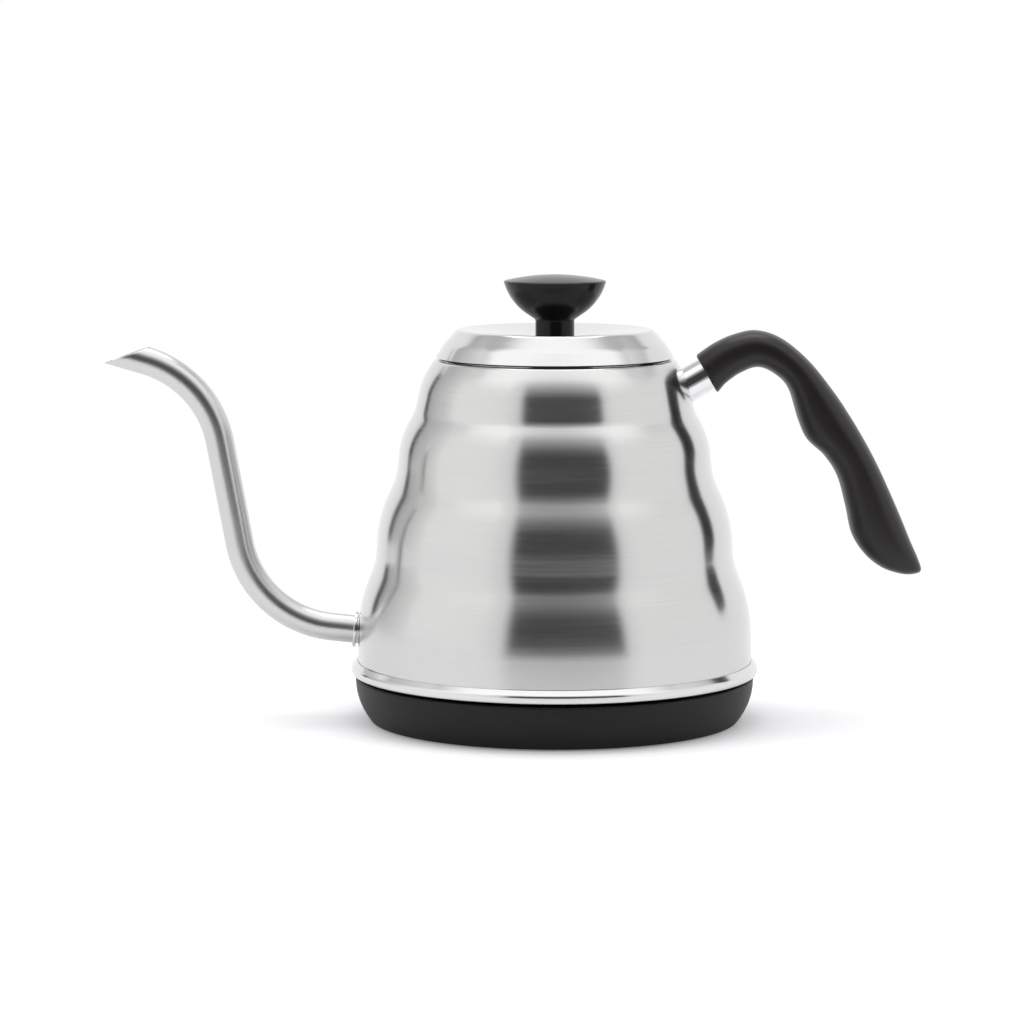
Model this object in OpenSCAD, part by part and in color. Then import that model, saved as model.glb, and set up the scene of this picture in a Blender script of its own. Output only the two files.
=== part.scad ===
// Gooseneck kettle with a beehive body, standing on a round cordless power base.
// Millimetres. Z is the upright axis of the body and Z = 0 is the table.
// The spout points to -X and the handle to +X.

/* [Body] */
// Outer radius of the body at its foot
body_foot_r = 68.2; // [62:0.1:76]
// Sheet thickness of the body, its floor and the lid
sheet = 0.8; // [0.6:0.1:1.1]
// Height of the lowest, upright band above the foot ring
band1_h = 18.6; // [14:0.1:22]
// Height of the first slope
slope1_h = 16.8; // [15:0.1:24]
// Radius lost along the first slope
slope1_in = 6.2; // [5:0.1:8]
// Height of the second band
band2_h = 14.7; // [10:0.1:16]
// Height of the second slope
slope2_h = 13.5; // [11:0.1:18]
// Radius lost along the second slope
slope2_in = 6.4; // [5:0.1:8]
// Height of the third band
band3_h = 14; // [12:0.1:18]
// Height of the third slope
slope3_h = 8.3; // [7:0.1:11]
// Radius lost along the third slope
slope3_in = 4.8; // [4:0.1:6]
// Height of the top band
band4_h = 11.6; // [10:0.1:15]
// Height from the top band to the rim
slope4_h = 6.5; // [5:0.1:8]
// Radius lost from the top band to the rim
slope4_in = 4.1; // [3:0.1:4.5]
// Inward lean of each upper band over its height
band_lean = 1.6; // [0.5:0.1:2.5]
// Width of the ledge inside the rim that the lid rests over
ledge_w = 4.9; // [4:0.1:7]
// Depth of the neck turned down inside the mouth
neck_h = 3.8; // [2.5:0.1:6]
// Height of the inside floor above the foot ring's lower edge
floor_rise = 9.4; // [9:0.1:9.8]

/* [Foot ring] */
// How far the ring stands out from the body
ring_out = 2.1; // [1.5:0.1:3]
// Height of the ring
ring_h = 4.6; // [3.6:0.1:5.4]

/* [Spout] */
// Outer diameter of the spout tube
spout_od = 9.7; // [8.5:0.1:10.5]
// Wall of the spout tube
spout_wall = 0.8; // [0.6:0.1:1.2]
// Height of the spout's axis at the body wall, above the foot ring's lower edge
spout_rise = 14.7; // [14.5:0.1:20]
// Upward angle where it leaves the body
spout_root_angle = 6; // [0:0.5:12]
// Straight length from the body wall to the first bend
spout_root_l = 9.4; // [7:0.1:16]
// Radius of the lower bend, at the tube's axis
spout_bend1_r = 35.9; // [28:0.1:42]
// Angle of the straight middle stretch from the horizontal
spout_mid_angle = 79.5; // [72:0.5:86]
// Length of the straight middle stretch
spout_mid_l = 35.9; // [25:0.1:45]
// Radius of the upper bend, at the tube's axis
spout_bend2_r = 36; // [28:0.1:42]
// Angle of the tip from the horizontal
spout_tip_angle = 16.5; // [10:0.5:25]
// Straight length from the upper bend to where the pouring lip is cut
spout_tip_l = 0.3; // [0.1:0.1:8]
// Angle between the cut of the pouring lip and the tube's axis
spout_cut_angle = 36; // [28:0.5:50]
// Diameter of the collar welded round the spout at the body
collar_d = 12.4; // [11.5:0.1:16]
// How far the spout collar stands out from the wall
collar_t = 1.2; // [0.8:0.1:2]

/* [Handle] */
// Height of the ferrule's axis at the body wall, below the rim
ferrule_drop = 8.7; // [8.5:0.1:14]
// Upward angle of the ferrule
ferrule_angle = 30; // [25:0.5:35]
// Free length of the ferrule between the body and the handle
ferrule_l = 7.2; // [6:0.1:14]
// Outer diameter of the ferrule
ferrule_d = 12; // [11:0.1:13]
// Wall of the ferrule
ferrule_wall = 1; // [0.8:0.1:1.4]
// Diameter of the steel tang inside the handle
tang_d = 7; // [6:0.1:7.4]
// How far the tang reaches into the handle
tang_depth = 15; // [13:0.1:16]
// Widest part of the handle, from side to side
handle_w = 20.4; // [17:0.1:24]

/* [Lid] */
// How far the lid's edge stays inside the body's rim
lid_inset = 0.5; // [0.3:0.1:1]
// Gap between the ledge and the lid's edge
lid_gap = 0.3; // [0.2:0.05:0.6]
// Height of the lid's side
lid_side_h = 10.1; // [8:0.1:13]
// Radius lost along the lid's side
lid_side_in = 7.3; // [6:0.1:9]
// Depth of the dish in the lid's top
lid_dish = 1.8; // [1:0.1:2.6]
// Depth of the locating ring below the lid's edge
lid_ring_h = 7.3; // [5:0.1:10]
// Diameter of the steam hole
vent_d = 3; // [2:0.1:4]

/* [Knob] */
// Diameter of the knob at its rim
knob_d = 35.2; // [30:0.1:40]
// Diameter of the knob's stem
stem_d = 13.4; // [12:0.1:18]
// Height of the stem
stem_h = 5.1; // [4:0.1:8]
// Height of the knob's cup above the stem
cup_h = 13.1; // [11:0.1:16]
// Height of the domed top above the rim
dome_h = 2.3; // [1.5:0.1:3.5]
// Radius of the bulge in the knob's side
cup_round = 19; // [12:0.5:19]
// Diameter of the knob's screw
knob_screw_d = 4; // [3:0.1:5]

/* [Base] */
// Height of the base's rim above the table
base_h = 15.6; // [15:0.1:18]
// Gap between the base's rim and the foot ring
base_gap = 1; // [0.6:0.1:1.6]
// How far the base's rim stays inside the foot ring
base_inset = 1.4; // [1:0.1:3]
// How far the base's side draws in towards the table
base_draw = 5.7; // [4:0.1:8]
// Wall of the base
base_wall = 2; // [1.8:0.1:2.2]
// Thickness of the bottom plate
plate_t = 1.8; // [1.5:0.1:2]
// How far the rubber feet stand below the bottom plate
foot_proud = 0.8; // [0.5:0.1:1]
// Diameter of a rubber foot
foot_d = 12; // [9:0.5:16]
// Clearance between the kettle's underside and the base's dish
nest_gap = 0.5; // [0.4:0.05:0.7]
// Inner diameter of the cord gland
gland_bore = 6.4; // [5.5:0.1:6.6]

/* [Power connector] */
// Diameter of the contact post on the base
post_d = 18; // [16:0.1:20]
// How far the post stands up into the kettle
post_up = 6.6; // [6:0.1:6.8]
// Diameter of the earth pin
pin_d = 5; // [4.6:0.1:5.2]
// Wall of the contact sleeves
contact_t = 0.5; // [0.4:0.05:0.55]
// Running gap between the two halves of the connector
contact_gap = 0.3; // [0.25:0.01:0.35]
// Width of the sprung collar round the post
shutter_w = 6.3; // [5:0.1:7]
// Height of the sprung collar
shutter_h = 3; // [2.6:0.1:3.2]
// Wire diameter of the collar's spring
spring_wire = 0.8; // [0.6:0.05:0.9]
// Turns of the collar's conical spring
spring_turns = 3; // [2:0.25:4]
// Wall of the kettle's socket
socket_wall = 6.7; // [6:0.1:7.5]

/* [Heating] */
// Diameter of the heat plate under the floor
heat_plate_d = 100; // [96:0.5:102]
// Thickness of the heat plate
heat_plate_t = 3; // [2.4:0.1:3.2]
// Diameter of the element's tube
element_d = 6.4; // [6:0.1:6.6]
// Radius that the element is bent to
element_r = 40; // [39:0.5:42]
// Angle that the element spans
element_span = 300; // [270:5:320]

/* [Switch] */
// Width of the rocker switch
switch_w = 15; // [14:0.1:18]
// Height of the switch's face
switch_h = 8.4; // [8:0.1:8.6]
// Compass angle of the switch, from the handle towards the back
switch_at = 55; // [40:1:65]
// Tilt of the rocker each way
rocker_tilt = 9; // [6:0.5:9]

/* [Hidden] */

$fn = 96;
// Gap left between two fixed pieces that touch, so that they don't overlap
seat = 0.02;
// Gap between a shaft and its hole
fit_gap = 0.05;
// Far enough to cut right through anything
far = 200;

steel = [0.80, 0.80, 0.79];
chrome = [0.88, 0.88, 0.90];
black = [0.10, 0.10, 0.11];
rubber_black = [0.06, 0.06, 0.06];
brass = [0.78, 0.62, 0.30];
alloy = [0.72, 0.73, 0.75];
dark_steel = [0.35, 0.35, 0.36];
lead_red = [0.55, 0.16, 0.12];

// ---- Outlines ----

function unit(v) = v / norm(v);
function heading(a) = [cos(a), sin(a)];
function left_of(a) = [-sin(a), cos(a)];
function left_normal(a, b) = let (t = unit(b - a)) [-t[1], t[0]];
function flip(path) = [for (i = [len(path) - 1:-1:0]) path[i]];

// One rounded corner at b, between a and c
function corner(a, b, c, r, steps) =
  let (
    u = unit(a - b),
    w = unit(c - b),
    half = acos(u * w) / 2,
    centre = b + unit(u + w) * r / sin(half),
    from = b + u * r / tan(half) - centre,
    to = b + w * r / tan(half) - centre,
    start = atan2(from[1], from[0]),
    turn = atan2(from[0] * to[1] - from[1] * to[0], from * to)
  )
  [for (i = [0:steps]) centre + r * heading(start + turn * i / steps)];

// A line through the points with each inner corner rounded by its radius
function rounded(points, radii, steps = 6) = concat(
  [points[0]],
  [for (i = [1:len(points) - 2])
    each corner(points[i - 1], points[i], points[i + 1], radii[i - 1], steps)],
  [points[len(points) - 1]]
);

// The same line moved d to the left of its direction
function inset(path, d) = [
  for (i = [0:len(path) - 1])
    let (
      before = left_normal(path[max(i - 1, 0)], path[max(i, 1)]),
      last = len(path) - 1,
      after = left_normal(path[min(i, last - 1)], path[min(i + 1, last)]),
      mitre = unit(before + after)
    )
    path[i] + mitre * d / (mitre * after)
];

// A sheet of thickness t on the left of a line
function sheet_of(path, t) = concat(path, flip(inset(path, t)));

// Radius of a line of [r, z] points at a height
function r_at(path, z) = lookup(z, [for (p = path) [p[1], p[0]]]);

// ---- Heights and radii of the body ----

ring_z = base_h + base_gap;
ring_r = body_foot_r + ring_out;
ring_lip = 0.6;
foot_z = ring_z + ring_lip;
shoulder1_z = ring_z + ring_h + band1_h;
valley1_z = shoulder1_z + slope1_h;
shoulder2_z = valley1_z + band2_h;
valley2_z = shoulder2_z + slope2_h;
shoulder3_z = valley2_z + band3_h;
valley3_z = shoulder3_z + slope3_h;
shoulder4_z = valley3_z + band4_h;
rim_z = shoulder4_z + slope4_h;

shoulder1_r = body_foot_r - 0.2 * band_lean;
valley1_r = shoulder1_r - slope1_in;
shoulder2_r = valley1_r - 0.6 * band_lean;
valley2_r = shoulder2_r - slope2_in;
shoulder3_r = valley2_r - 0.8 * band_lean;
valley3_r = shoulder3_r - slope3_in;
shoulder4_r = valley3_r - 1.7 * band_lean;
rim_r = shoulder4_r - slope4_in;
mouth_r = rim_r - ledge_w;
ledge_z = rim_z - 0.5;

body_side = rounded(
  [
    [body_foot_r, foot_z], [shoulder1_r, shoulder1_z], [valley1_r, valley1_z],
    [shoulder2_r, shoulder2_z], [valley2_r, valley2_z], [shoulder3_r, shoulder3_z],
    [valley3_r, valley3_z], [shoulder4_r, shoulder4_z], [rim_r, rim_z]
  ],
  [42, 14, 43, 25, 30, 9.5, 25]
);
body_top = rounded(
  [body_side[len(body_side) - 2], [rim_r, rim_z], [mouth_r, ledge_z], [mouth_r, ledge_z - neck_h]],
  [1.3, 1.2]
);
body_path = concat(
  [for (i = [0:len(body_side) - 2]) body_side[i]],
  [for (i = [1:len(body_top) - 1]) body_top[i]]
);

floor_z = ring_z + floor_rise;
floor_under_z = floor_z - sheet;

// Everything inside the body's outer surface, grown by a seat
module body_solid() {
  rotate_extrude() polygon(concat([[0, foot_z]], inset(body_side, -seat), [[0, rim_z]]));
}

// ---- The spout's axis: straight, bend, straight, bend, straight ----

root_head = 180 - spout_root_angle;
mid_head = 180 - spout_mid_angle;
tip_head = 180 - spout_tip_angle;
root_z = ring_z + spout_rise;
root = [-r_at(body_side, root_z), root_z];
root_in = sheet + 1.4;
bend1_from = root + spout_root_l * heading(root_head);
bend1_at = bend1_from - spout_bend1_r * left_of(root_head);
bend1_to = bend1_at + spout_bend1_r * left_of(mid_head);
bend2_from = bend1_to + spout_mid_l * heading(mid_head);
bend2_at = bend2_from + spout_bend2_r * left_of(mid_head);
bend2_to = bend2_at - spout_bend2_r * left_of(tip_head);
lip_l = spout_tip_l + spout_od / tan(spout_cut_angle);
spout_r = spout_od / 2;
spout_sides = 36;
bend_steps = 12;

// Places along the axis, each with the heading there
spout_stations = concat(
  [[root - root_in * heading(root_head), root_head]],
  [for (i = [0:bend_steps])
    let (h = root_head + (mid_head - root_head) * i / bend_steps)
    [bend1_at + spout_bend1_r * left_of(h), h]],
  [for (i = [0:bend_steps])
    let (h = mid_head + (tip_head - mid_head) * i / bend_steps)
    [bend2_at - spout_bend2_r * left_of(h), h]],
  [[bend2_to + lip_l * heading(tip_head), tip_head]]
);

// A ring of points round a station, pulled back by the lip's cut at the last one
function spout_ring(k, r) =
  let (
    s = spout_stations[k],
    cut = k == len(spout_stations) - 1 ? 1 / tan(spout_cut_angle) : 0
  )
  [for (j = [0:spout_sides - 1])
    let (
      a = 360 * j / spout_sides,
      p = s[0] + r * cos(a) * left_of(s[1]) - cut * (spout_r - r * cos(a)) * heading(s[1])
    )
    [p[0], r * sin(a), p[1]]];

// Walls between rings of a hollow tube: all outer rings first, then all inner ones
function hollow_faces(rings, sides) =
  let (skin = rings * sides)
  [
    for (k = [0:rings - 2], j = [0:sides - 1])
      let (a = k * sides + j, b = k * sides + (j + 1) % sides)
      each [
        [a, b + sides, a + sides], [a, b, b + sides],
        [skin + a, skin + a + sides, skin + b + sides], [skin + a, skin + b + sides, skin + b]
      ],
    for (j = [0:sides - 1])
      let (n = (j + 1) % sides, e = (rings - 1) * sides)
      each [
        [j, skin + n, n], [j, skin + j, skin + n],
        [e + j, e + n, skin + e + n], [e + j, skin + e + n, skin + e + j]
      ]
  ];

module along(from, head, length, r) {
  translate([from[0], 0, from[1]]) rotate([0, 90 - head, 0]) cylinder(r = r, h = length);
}

// ---- The handle ----

ferrule_z = rim_z - ferrule_drop;
ferrule_root = [r_at(body_side, ferrule_z), ferrule_z];
face = ferrule_root + ferrule_l * heading(ferrule_angle);

// Stations along the handle: outer edge x, z, inner edge x, z, share of the width.
// They are measured from the centre of the end face that meets the ferrule.
handle_stations = [
  [-3.7, 6.4, 3.7, -6.4, 0.72],
  [2.4, 10.6, 6.7, -2.9, 0.80],
  [9.3, 13.7, 11.4, 0.5, 0.86],
  [17.3, 15.1, 17.4, 2.6, 0.92],
  [26.0, 12.2, 23.1, 0.4, 0.96],
  [35.4, 4.4, 28.1, -4.8, 0.98],
  [43.8, -6.0, 31.6, -15.6, 1.00],
  [49.4, -14.3, 34.7, -22.3, 1.00],
  [54.4, -22.6, 40.6, -27.9, 1.00],
  [58.9, -31.0, 45.3, -35.2, 1.00],
  [62.8, -39.3, 48.2, -45.4, 1.00],
  [67.1, -49.0, 50.5, -55.2, 0.98],
  [70.6, -57.4, 54.9, -62.1, 0.92],
  [73.1, -63.0, 60.6, -66.7, 0.80],
  [74.6, -67.0, 66.4, -68.8, 0.56],
  [74.2, -68.6, 70.4, -69.4, 0.22]
];
handle_steps = 3;
handle_sides = 24;
handle_square = 0.78;

// A smooth curve through four neighbouring values, at t from the second to the third
function smooth(a, b, c, d, t) =
  b + 0.5 * t * (c - a + t * (2 * a - 5 * b + 4 * c - d + t * (3 * (b - c) + d - a)));

function station(k) =
  let (
    last = len(handle_stations) - 1,
    i = min(floor(k / handle_steps), last - 1),
    s = handle_stations
  )
  smooth(s[max(i - 1, 0)], s[i], s[i + 1], s[min(i + 2, last)], k / handle_steps - i);

function rounded_power(v) = sign(v) * pow(abs(v), handle_square);

function handle_ring(k) =
  let (
    s = station(k),
    mid = [s[0] + s[2], s[1] + s[3]] / 2,
    reach = [s[0] - s[2], s[1] - s[3]] / 2
  )
  [for (j = [0:handle_sides - 1])
    let (
      a = -360 * j / handle_sides,
      p = mid + reach * rounded_power(cos(a))
    )
    [p[0], handle_w / 2 * s[4] * rounded_power(sin(a)), p[1]]];

handle_rings = (len(handle_stations) - 1) * handle_steps + 1;

function tube_faces(rings, sides) = concat(
  [[for (j = [0:sides - 1]) j]],
  [for (k = [0:rings - 2], j = [0:sides - 1])
    let (a = k * sides + j, b = k * sides + (j + 1) % sides)
    each [[a, a + sides, b + sides], [a, b + sides, b]]],
  [[for (j = [sides - 1:-1:0]) (rings - 1) * sides + j]]
);

// Place of the handle's screw, measured along the ferrule's axis from the end face
handle_screw_at = 4.5;
handle_screw_r = 1.5;
handle_screw_l = tang_d;
handle_screw_head_r = 2.8;
handle_screw_head_z = -tang_d / 2 - 0.5;

module at_handle_screw() {
  translate([face[0], 0, face[1]])
    rotate([0, -ferrule_angle, 0])
      translate([handle_screw_at, 0, 0])
        children();
}

// ---- The lid ----

lid_z = rim_z + lid_gap;
lid_edge_r = rim_r - lid_inset;
lid_top_z = lid_z + lid_side_h;
lid_top_r = lid_edge_r - lid_side_in;
stem_z = lid_top_z - lid_dish;
lid_path = rounded(
  [
    [lid_edge_r, lid_z],
    [lid_edge_r - 0.40 * lid_side_in, lid_z + 0.52 * lid_side_h],
    [lid_top_r, lid_top_z],
    [stem_d / 2 + 4, stem_z],
    [knob_screw_d / 2 + 0.2, stem_z]
  ],
  [12, 2.2, 8]
);
lid_ring_r = mouth_r - 0.35;
lid_ring_flange_z = lid_z + 1.2;

// ---- The knob ----

knob_r = knob_d / 2;
cup_z = stem_z + stem_h;
knob_rim_z = cup_z + cup_h;
knob_bore_h = 12;
dome_steps = 8;

// ---- The base ----

bowl_r = ring_r - base_inset;
bowl_low_z = 0.6;
bowl_steps = 14;
bowl_side = [
  for (i = [0:bowl_steps])
    let (z = bowl_low_z + (base_h - bowl_low_z) * i / bowl_steps)
    [bowl_r - base_draw * pow(1 - z / base_h, 2.3), z]
];
bowl_inside = inset(bowl_side, base_wall);
plate_z = foot_proud;
plate_top_z = plate_z + plate_t;
plate_r = r_at(bowl_inside, plate_z) - 0.3;
rim_w = 2.8;

stud_r = 2.6;
stud_ring_r = heat_plate_d / 2 + stud_r + 0.6;
cover_z = ring_z - 4.2;
cover_t = 1.6;
cover_r = stud_ring_r + stud_r + 1.2;
cover_top_r = body_foot_r - sheet - 0.6;
dish_z = cover_z - nest_gap;
dish_under_z = dish_z - base_wall;
dish_r = cover_r + 1.2;
foot_ring_r = bowl_r - 17.9;
foot_pocket = 0.8;
foot_r = foot_d / 2;
base_screw_ring_r = bowl_r - 22.9;
base_screw_first = 65;
foot_first = 45;
base_screw_r = 1.5;
base_screw_l = 6;
base_screw_head_r = 2.8;
base_boss_r = 3.6;

// ---- The connector ----

post_r = post_d / 2;
post_top_z = cover_z + post_up;
post_disc_t = 1.2;
post_floor_z = plate_top_z + 2.2;
post_wall = 2.1;
pin_r = pin_d / 2;
// Radii outwards from the pin: gap, sleeve, plastic, band, gap, band, plastic of the post
sleeve_in_r = pin_r + contact_gap;
sleeve_mid_r = sleeve_in_r + contact_t;
band_in_r = sleeve_mid_r + 1.3;
band_out_r = band_in_r + contact_t;
lining_in_r = band_out_r + contact_gap;
lining_out_r = lining_in_r + contact_t;
post_band_r = post_r + contact_t;
socket_band_r = post_band_r + contact_gap;
socket_in_r = socket_band_r + contact_t;
socket_out_r = socket_in_r + socket_wall;
collar_in_r = post_band_r + contact_gap;
collar_out_r = collar_in_r + shutter_w;
post_well_r = collar_out_r + contact_gap;
post_out_r = post_well_r + post_wall;
collar_top_z = cover_z - contact_gap;
collar_z = collar_top_z - shutter_h;
post_well_z = post_floor_z + post_disc_t;
post_flange_r = post_out_r + 5.5;
post_flange_t = 1.6;
post_screw_ring_r = post_out_r + 2.8;
tab_w = 3;
tab_low_z = plate_top_z + 0.5;

spring_r = (collar_in_r + collar_out_r) / 2;
spring_low_z = post_well_z + spring_wire / 2 + seat;
spring_high_z = collar_z - spring_wire / 2 - seat;
spring_step = spring_wire * 1.3;

// ---- The kettle's underside ----

heat_under_z = floor_under_z - heat_plate_t;
element_z = heat_under_z - element_d / 2;
socket_top_z = post_top_z + 0.8;
socket_flange_r = socket_out_r + 5;
socket_flange_t = 2.4;
socket_screw_ring_r = socket_out_r + 2.6;
socket_screw_r = 1.25;
socket_screw_l = socket_flange_t + heat_plate_t - 1;
blade_z = heat_under_z - 1.9;
blade_t = 0.8;
blade_tip_r = socket_flange_r + 1;
element_in_r = element_r - element_d / 2;
control_ring_r = (socket_flange_r + element_in_r) / 2;
control_gap = 1.2;
thermostat_r = (element_in_r - socket_flange_r) / 2 - control_gap;
thermostat_h = 4.8;
thermostat_tab_at = thermostat_r - 2.2;
thermostat_at = 90;
fuse_r = 1.9;
fuse_l = 11;
fuse_at = 205;
stud_screw_r = 1.5;
stud_screw_l = 6;
lead_r = 0.9;
seal_z = foot_z + 0.6;
seal_h = 1;
cover_flange_top_z = seal_z + seal_h + 0.8;

// ---- The switch ----

switch_face_r = bowl_r + 0.3;
switch_z = plate_top_z + 0.4;
switch_back_r = switch_face_r - 13;
switch_step_r = switch_face_r - 6.9;
switch_back_h = dish_under_z - switch_z - 0.3;
switch_wall = 1;
rocker_h = switch_h - 2 * switch_wall - 0.4;
rocker_w = switch_w - 2 * switch_wall - 2;
rocker_axis_r = switch_face_r - 4.3;
rocker_mid_z = switch_z + switch_h / 2;
trunnion_r = 1;

module at_switch() {
  rotate([0, 0, switch_at]) children();
}

// ---- The cord gland ----

gland_z = plate_top_z + 4.3;
gland_r = gland_bore / 2 + 0.9;
gland_flange_r = gland_r + 1.1;
gland_in_y = bowl_r - 11;
gland_out_y = bowl_r + 0.5;
gland_flange_t = 1.6;

module cross_y(y0, y1, z, r) {
  translate([0, y1, z]) rotate([90, 0, 0]) cylinder(r = r, h = y1 - y0);
}

// ---- Small shared shapes ----

module ring_of(count, r, first = 0) {
  for (i = [0:count - 1])
    rotate([0, 0, first + 360 * i / count]) translate([r, 0, 0]) children();
}

module tube(r_in, r_out, z0, z1) {
  translate([0, 0, z0]) difference() {
    cylinder(r = r_out, h = z1 - z0);
    translate([0, 0, -1]) cylinder(r = r_in, h = z1 - z0 + 2);
  }
}

// A screw pointing up, with its head below z = 0 and a cross-shaped recess in it
module screw(r, length, head_r, head_h) {
  difference() {
    union() {
      cylinder(r = r, h = length);
      translate([0, 0, -head_h]) cylinder(r = head_r, h = head_h);
    }
    for (a = [0, 90])
      rotate([0, 0, a])
        translate([-head_r * 0.6, -0.4, -head_h - 1])
          cube([head_r * 1.2, 0.8, 1 + head_h * 0.5]);
  }
}

// A smooth lead drawn through its points
lead_sides = 8;
lead_steps = 4;

function lead_at(points, k) =
  let (last = len(points) - 1, i = min(floor(k / lead_steps), last - 1))
  smooth(points[max(i - 1, 0)], points[i], points[i + 1], points[min(i + 2, last)],
    k / lead_steps - i);

function lead_ring(points, k, count) =
  let (
    at = lead_at(points, k),
    way = unit(lead_at(points, min(k + 0.1, count - 1)) - lead_at(points, max(k - 0.1, 0))),
    side = unit(cross([0, 0, 1], way)),
    up = cross(way, side)
  )
  [for (j = [0:lead_sides - 1])
    let (a = 360 * j / lead_sides)
    at + lead_r * (cos(a) * side + sin(a) * up)];

module lead(points) {
  count = (len(points) - 1) * lead_steps + 1;
  polyhedron(
    [for (k = [0:count - 1]) each lead_ring(points, k, count)],
    tube_faces(count, lead_sides)
  );
}

function polar(r, a, z) = [r * cos(a), r * sin(a), z];

// ---- Base pieces ----

module base_shell() {
  top = rounded(
    [
      bowl_side[bowl_steps - 1], [bowl_r, base_h], [bowl_r - rim_w, base_h],
      [dish_r, dish_z], [post_out_r + 0.3, dish_z]
    ],
    [0.8, 0.6, 1.5]
  );
  hollow = [
    [bowl_inside[0][0], bowl_low_z],
    [r_at(bowl_inside, base_h - base_wall * 1.3), base_h - base_wall * 1.3],
    [bowl_r - rim_w - 1.3 * base_wall, base_h - base_wall * 1.3],
    [dish_r - 0.3 * base_wall, dish_under_z],
    [post_out_r + 0.3, dish_under_z]
  ];
  inner = [for (p = bowl_inside) if (p[1] < hollow[1][1]) p];
  color(black)
  difference() {
    union() {
      rotate_extrude() polygon(concat(
        [for (i = [0:bowl_steps - 1]) bowl_side[i]],
        [for (i = [1:len(top) - 1]) top[i]],
        [hollow[4], hollow[3], hollow[2], hollow[1]],
        flip(inner)
      ));
      ring_of(4, base_screw_ring_r, base_screw_first)
        translate([0, 0, plate_top_z + seat])
          cylinder(r = base_boss_r, h = dish_under_z - plate_top_z + 0.5);
    }
    ring_of(4, base_screw_ring_r, base_screw_first)
      translate([0, 0, plate_top_z - 1])
        cylinder(r = base_screw_r + fit_gap, h = base_screw_l + 1, $fn = 48);
    ring_of(3, post_screw_ring_r)
      translate([0, 0, dish_under_z - 1])
        cylinder(r = base_screw_r + fit_gap, h = 2.4, $fn = 48);
    cross_y(gland_in_y, far, gland_z, gland_r + fit_gap);
    cross_y(gland_out_y - gland_flange_t - seat, far, gland_z, gland_flange_r + 0.15);
    at_switch()
      translate([switch_step_r - 2, -switch_w / 2 - 0.15, switch_z - 0.15])
        cube([20, switch_w + 0.3, switch_h + 0.3]);
  }
}

module base_plate() {
  color(black)
  difference() {
    translate([0, 0, plate_z]) cylinder(r = plate_r, h = plate_t);
    ring_of(4, foot_ring_r, foot_first)
      translate([0, 0, plate_z - 1]) cylinder(r = foot_r + fit_gap, h = 1 + foot_pocket + seat);
    ring_of(4, base_screw_ring_r, base_screw_first)
      translate([0, 0, plate_z - 1]) cylinder(r = base_screw_r + 0.2, h = far, $fn = 48);
    ring_of(4, base_screw_ring_r, base_screw_first)
      translate([0, 0, plate_z - 1]) cylinder(r = base_screw_head_r + 0.3, h = 2, $fn = 48);
  }
}

module base_feet() {
  color(rubber_black)
  ring_of(4, foot_ring_r, foot_first) cylinder(r = foot_r, h = foot_proud + foot_pocket);
}

module base_screws() {
  color(dark_steel)
  ring_of(4, base_screw_ring_r, base_screw_first)
    translate([0, 0, plate_z + 1 - seat])
      screw(base_screw_r, base_screw_l, base_screw_head_r, 0.9);
}

module cord_gland() {
  color(rubber_black)
  difference() {
    union() {
      cross_y(gland_in_y, gland_out_y, gland_z, gland_r);
      cross_y(gland_out_y - gland_flange_t, gland_out_y, gland_z, gland_flange_r);
    }
    cross_y(gland_in_y - 1, gland_out_y + 1, gland_z, gland_bore / 2);
  }
}

// The strips that join the post's contacts to their tabs, each grown by a gap
module post_tabs(gap) {
  spots = [[lining_in_r, contact_t, 30], [post_r, contact_t, 150]];
  for (s = spots)
    rotate([0, 0, s[2]])
      translate([s[0] - gap, -tab_w / 2 - gap, tab_low_z])
        cube([s[1] + 2 * gap, tab_w + 2 * gap, post_well_z + 3 - tab_low_z]);
}

module contact_post() {
  flange_z = dish_under_z - post_flange_t;
  color(black)
  difference() {
    rotate_extrude() polygon([
      [pin_r + fit_gap, post_floor_z], [post_out_r, post_floor_z], [post_out_r, flange_z],
      [post_flange_r, flange_z], [post_flange_r, dish_under_z - seat],
      [post_out_r, dish_under_z - seat], [post_out_r, dish_z], [post_well_r, dish_z],
      [post_well_r, post_well_z], [post_r, post_well_z], [post_r, post_top_z - 0.6],
      [post_r - 0.6, post_top_z], [lining_out_r + fit_gap + 0.4, post_top_z],
      [lining_out_r + fit_gap, post_top_z - 0.4],
      [lining_out_r + fit_gap, post_well_z + 1], [pin_r + fit_gap, post_well_z + 1]
    ]);
    ring_of(3, post_screw_ring_r)
      translate([0, 0, flange_z - 1]) cylinder(r = base_screw_r + 0.1, h = 8, $fn = 48);
    post_tabs(fit_gap);
  }
}

module post_contacts() {
  color(brass) {
    translate([0, 0, tab_low_z]) cylinder(r = pin_r, h = post_top_z - 1.6 - tab_low_z);
    translate([0, 0, post_top_z - 1.6]) cylinder(r1 = pin_r, r2 = pin_r - 0.8, h = 0.8);
    difference() {
      union() {
        tube(lining_in_r, lining_out_r, post_well_z + 1 + seat, post_top_z - 0.6);
        rotate([0, 0, 30])
          translate([lining_in_r, -tab_w / 2, tab_low_z])
            cube([contact_t, tab_w, post_well_z + 2 - tab_low_z]);
      }
      translate([0, 0, post_well_z]) cylinder(r = lining_in_r, h = far);
    }
    tube(post_r + seat, post_band_r, cover_z + 0.6, post_top_z - 0.8);
    rotate([0, 0, 150])
      translate([post_r + seat, -tab_w / 2, tab_low_z])
        cube([contact_t - 2 * seat, tab_w, cover_z + 1 - tab_low_z]);
  }
}

module post_screws() {
  color(dark_steel)
  ring_of(3, post_screw_ring_r)
    translate([0, 0, dish_under_z - post_flange_t - seat]) screw(base_screw_r, 2.8, 2.5, 1.1);
}

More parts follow.
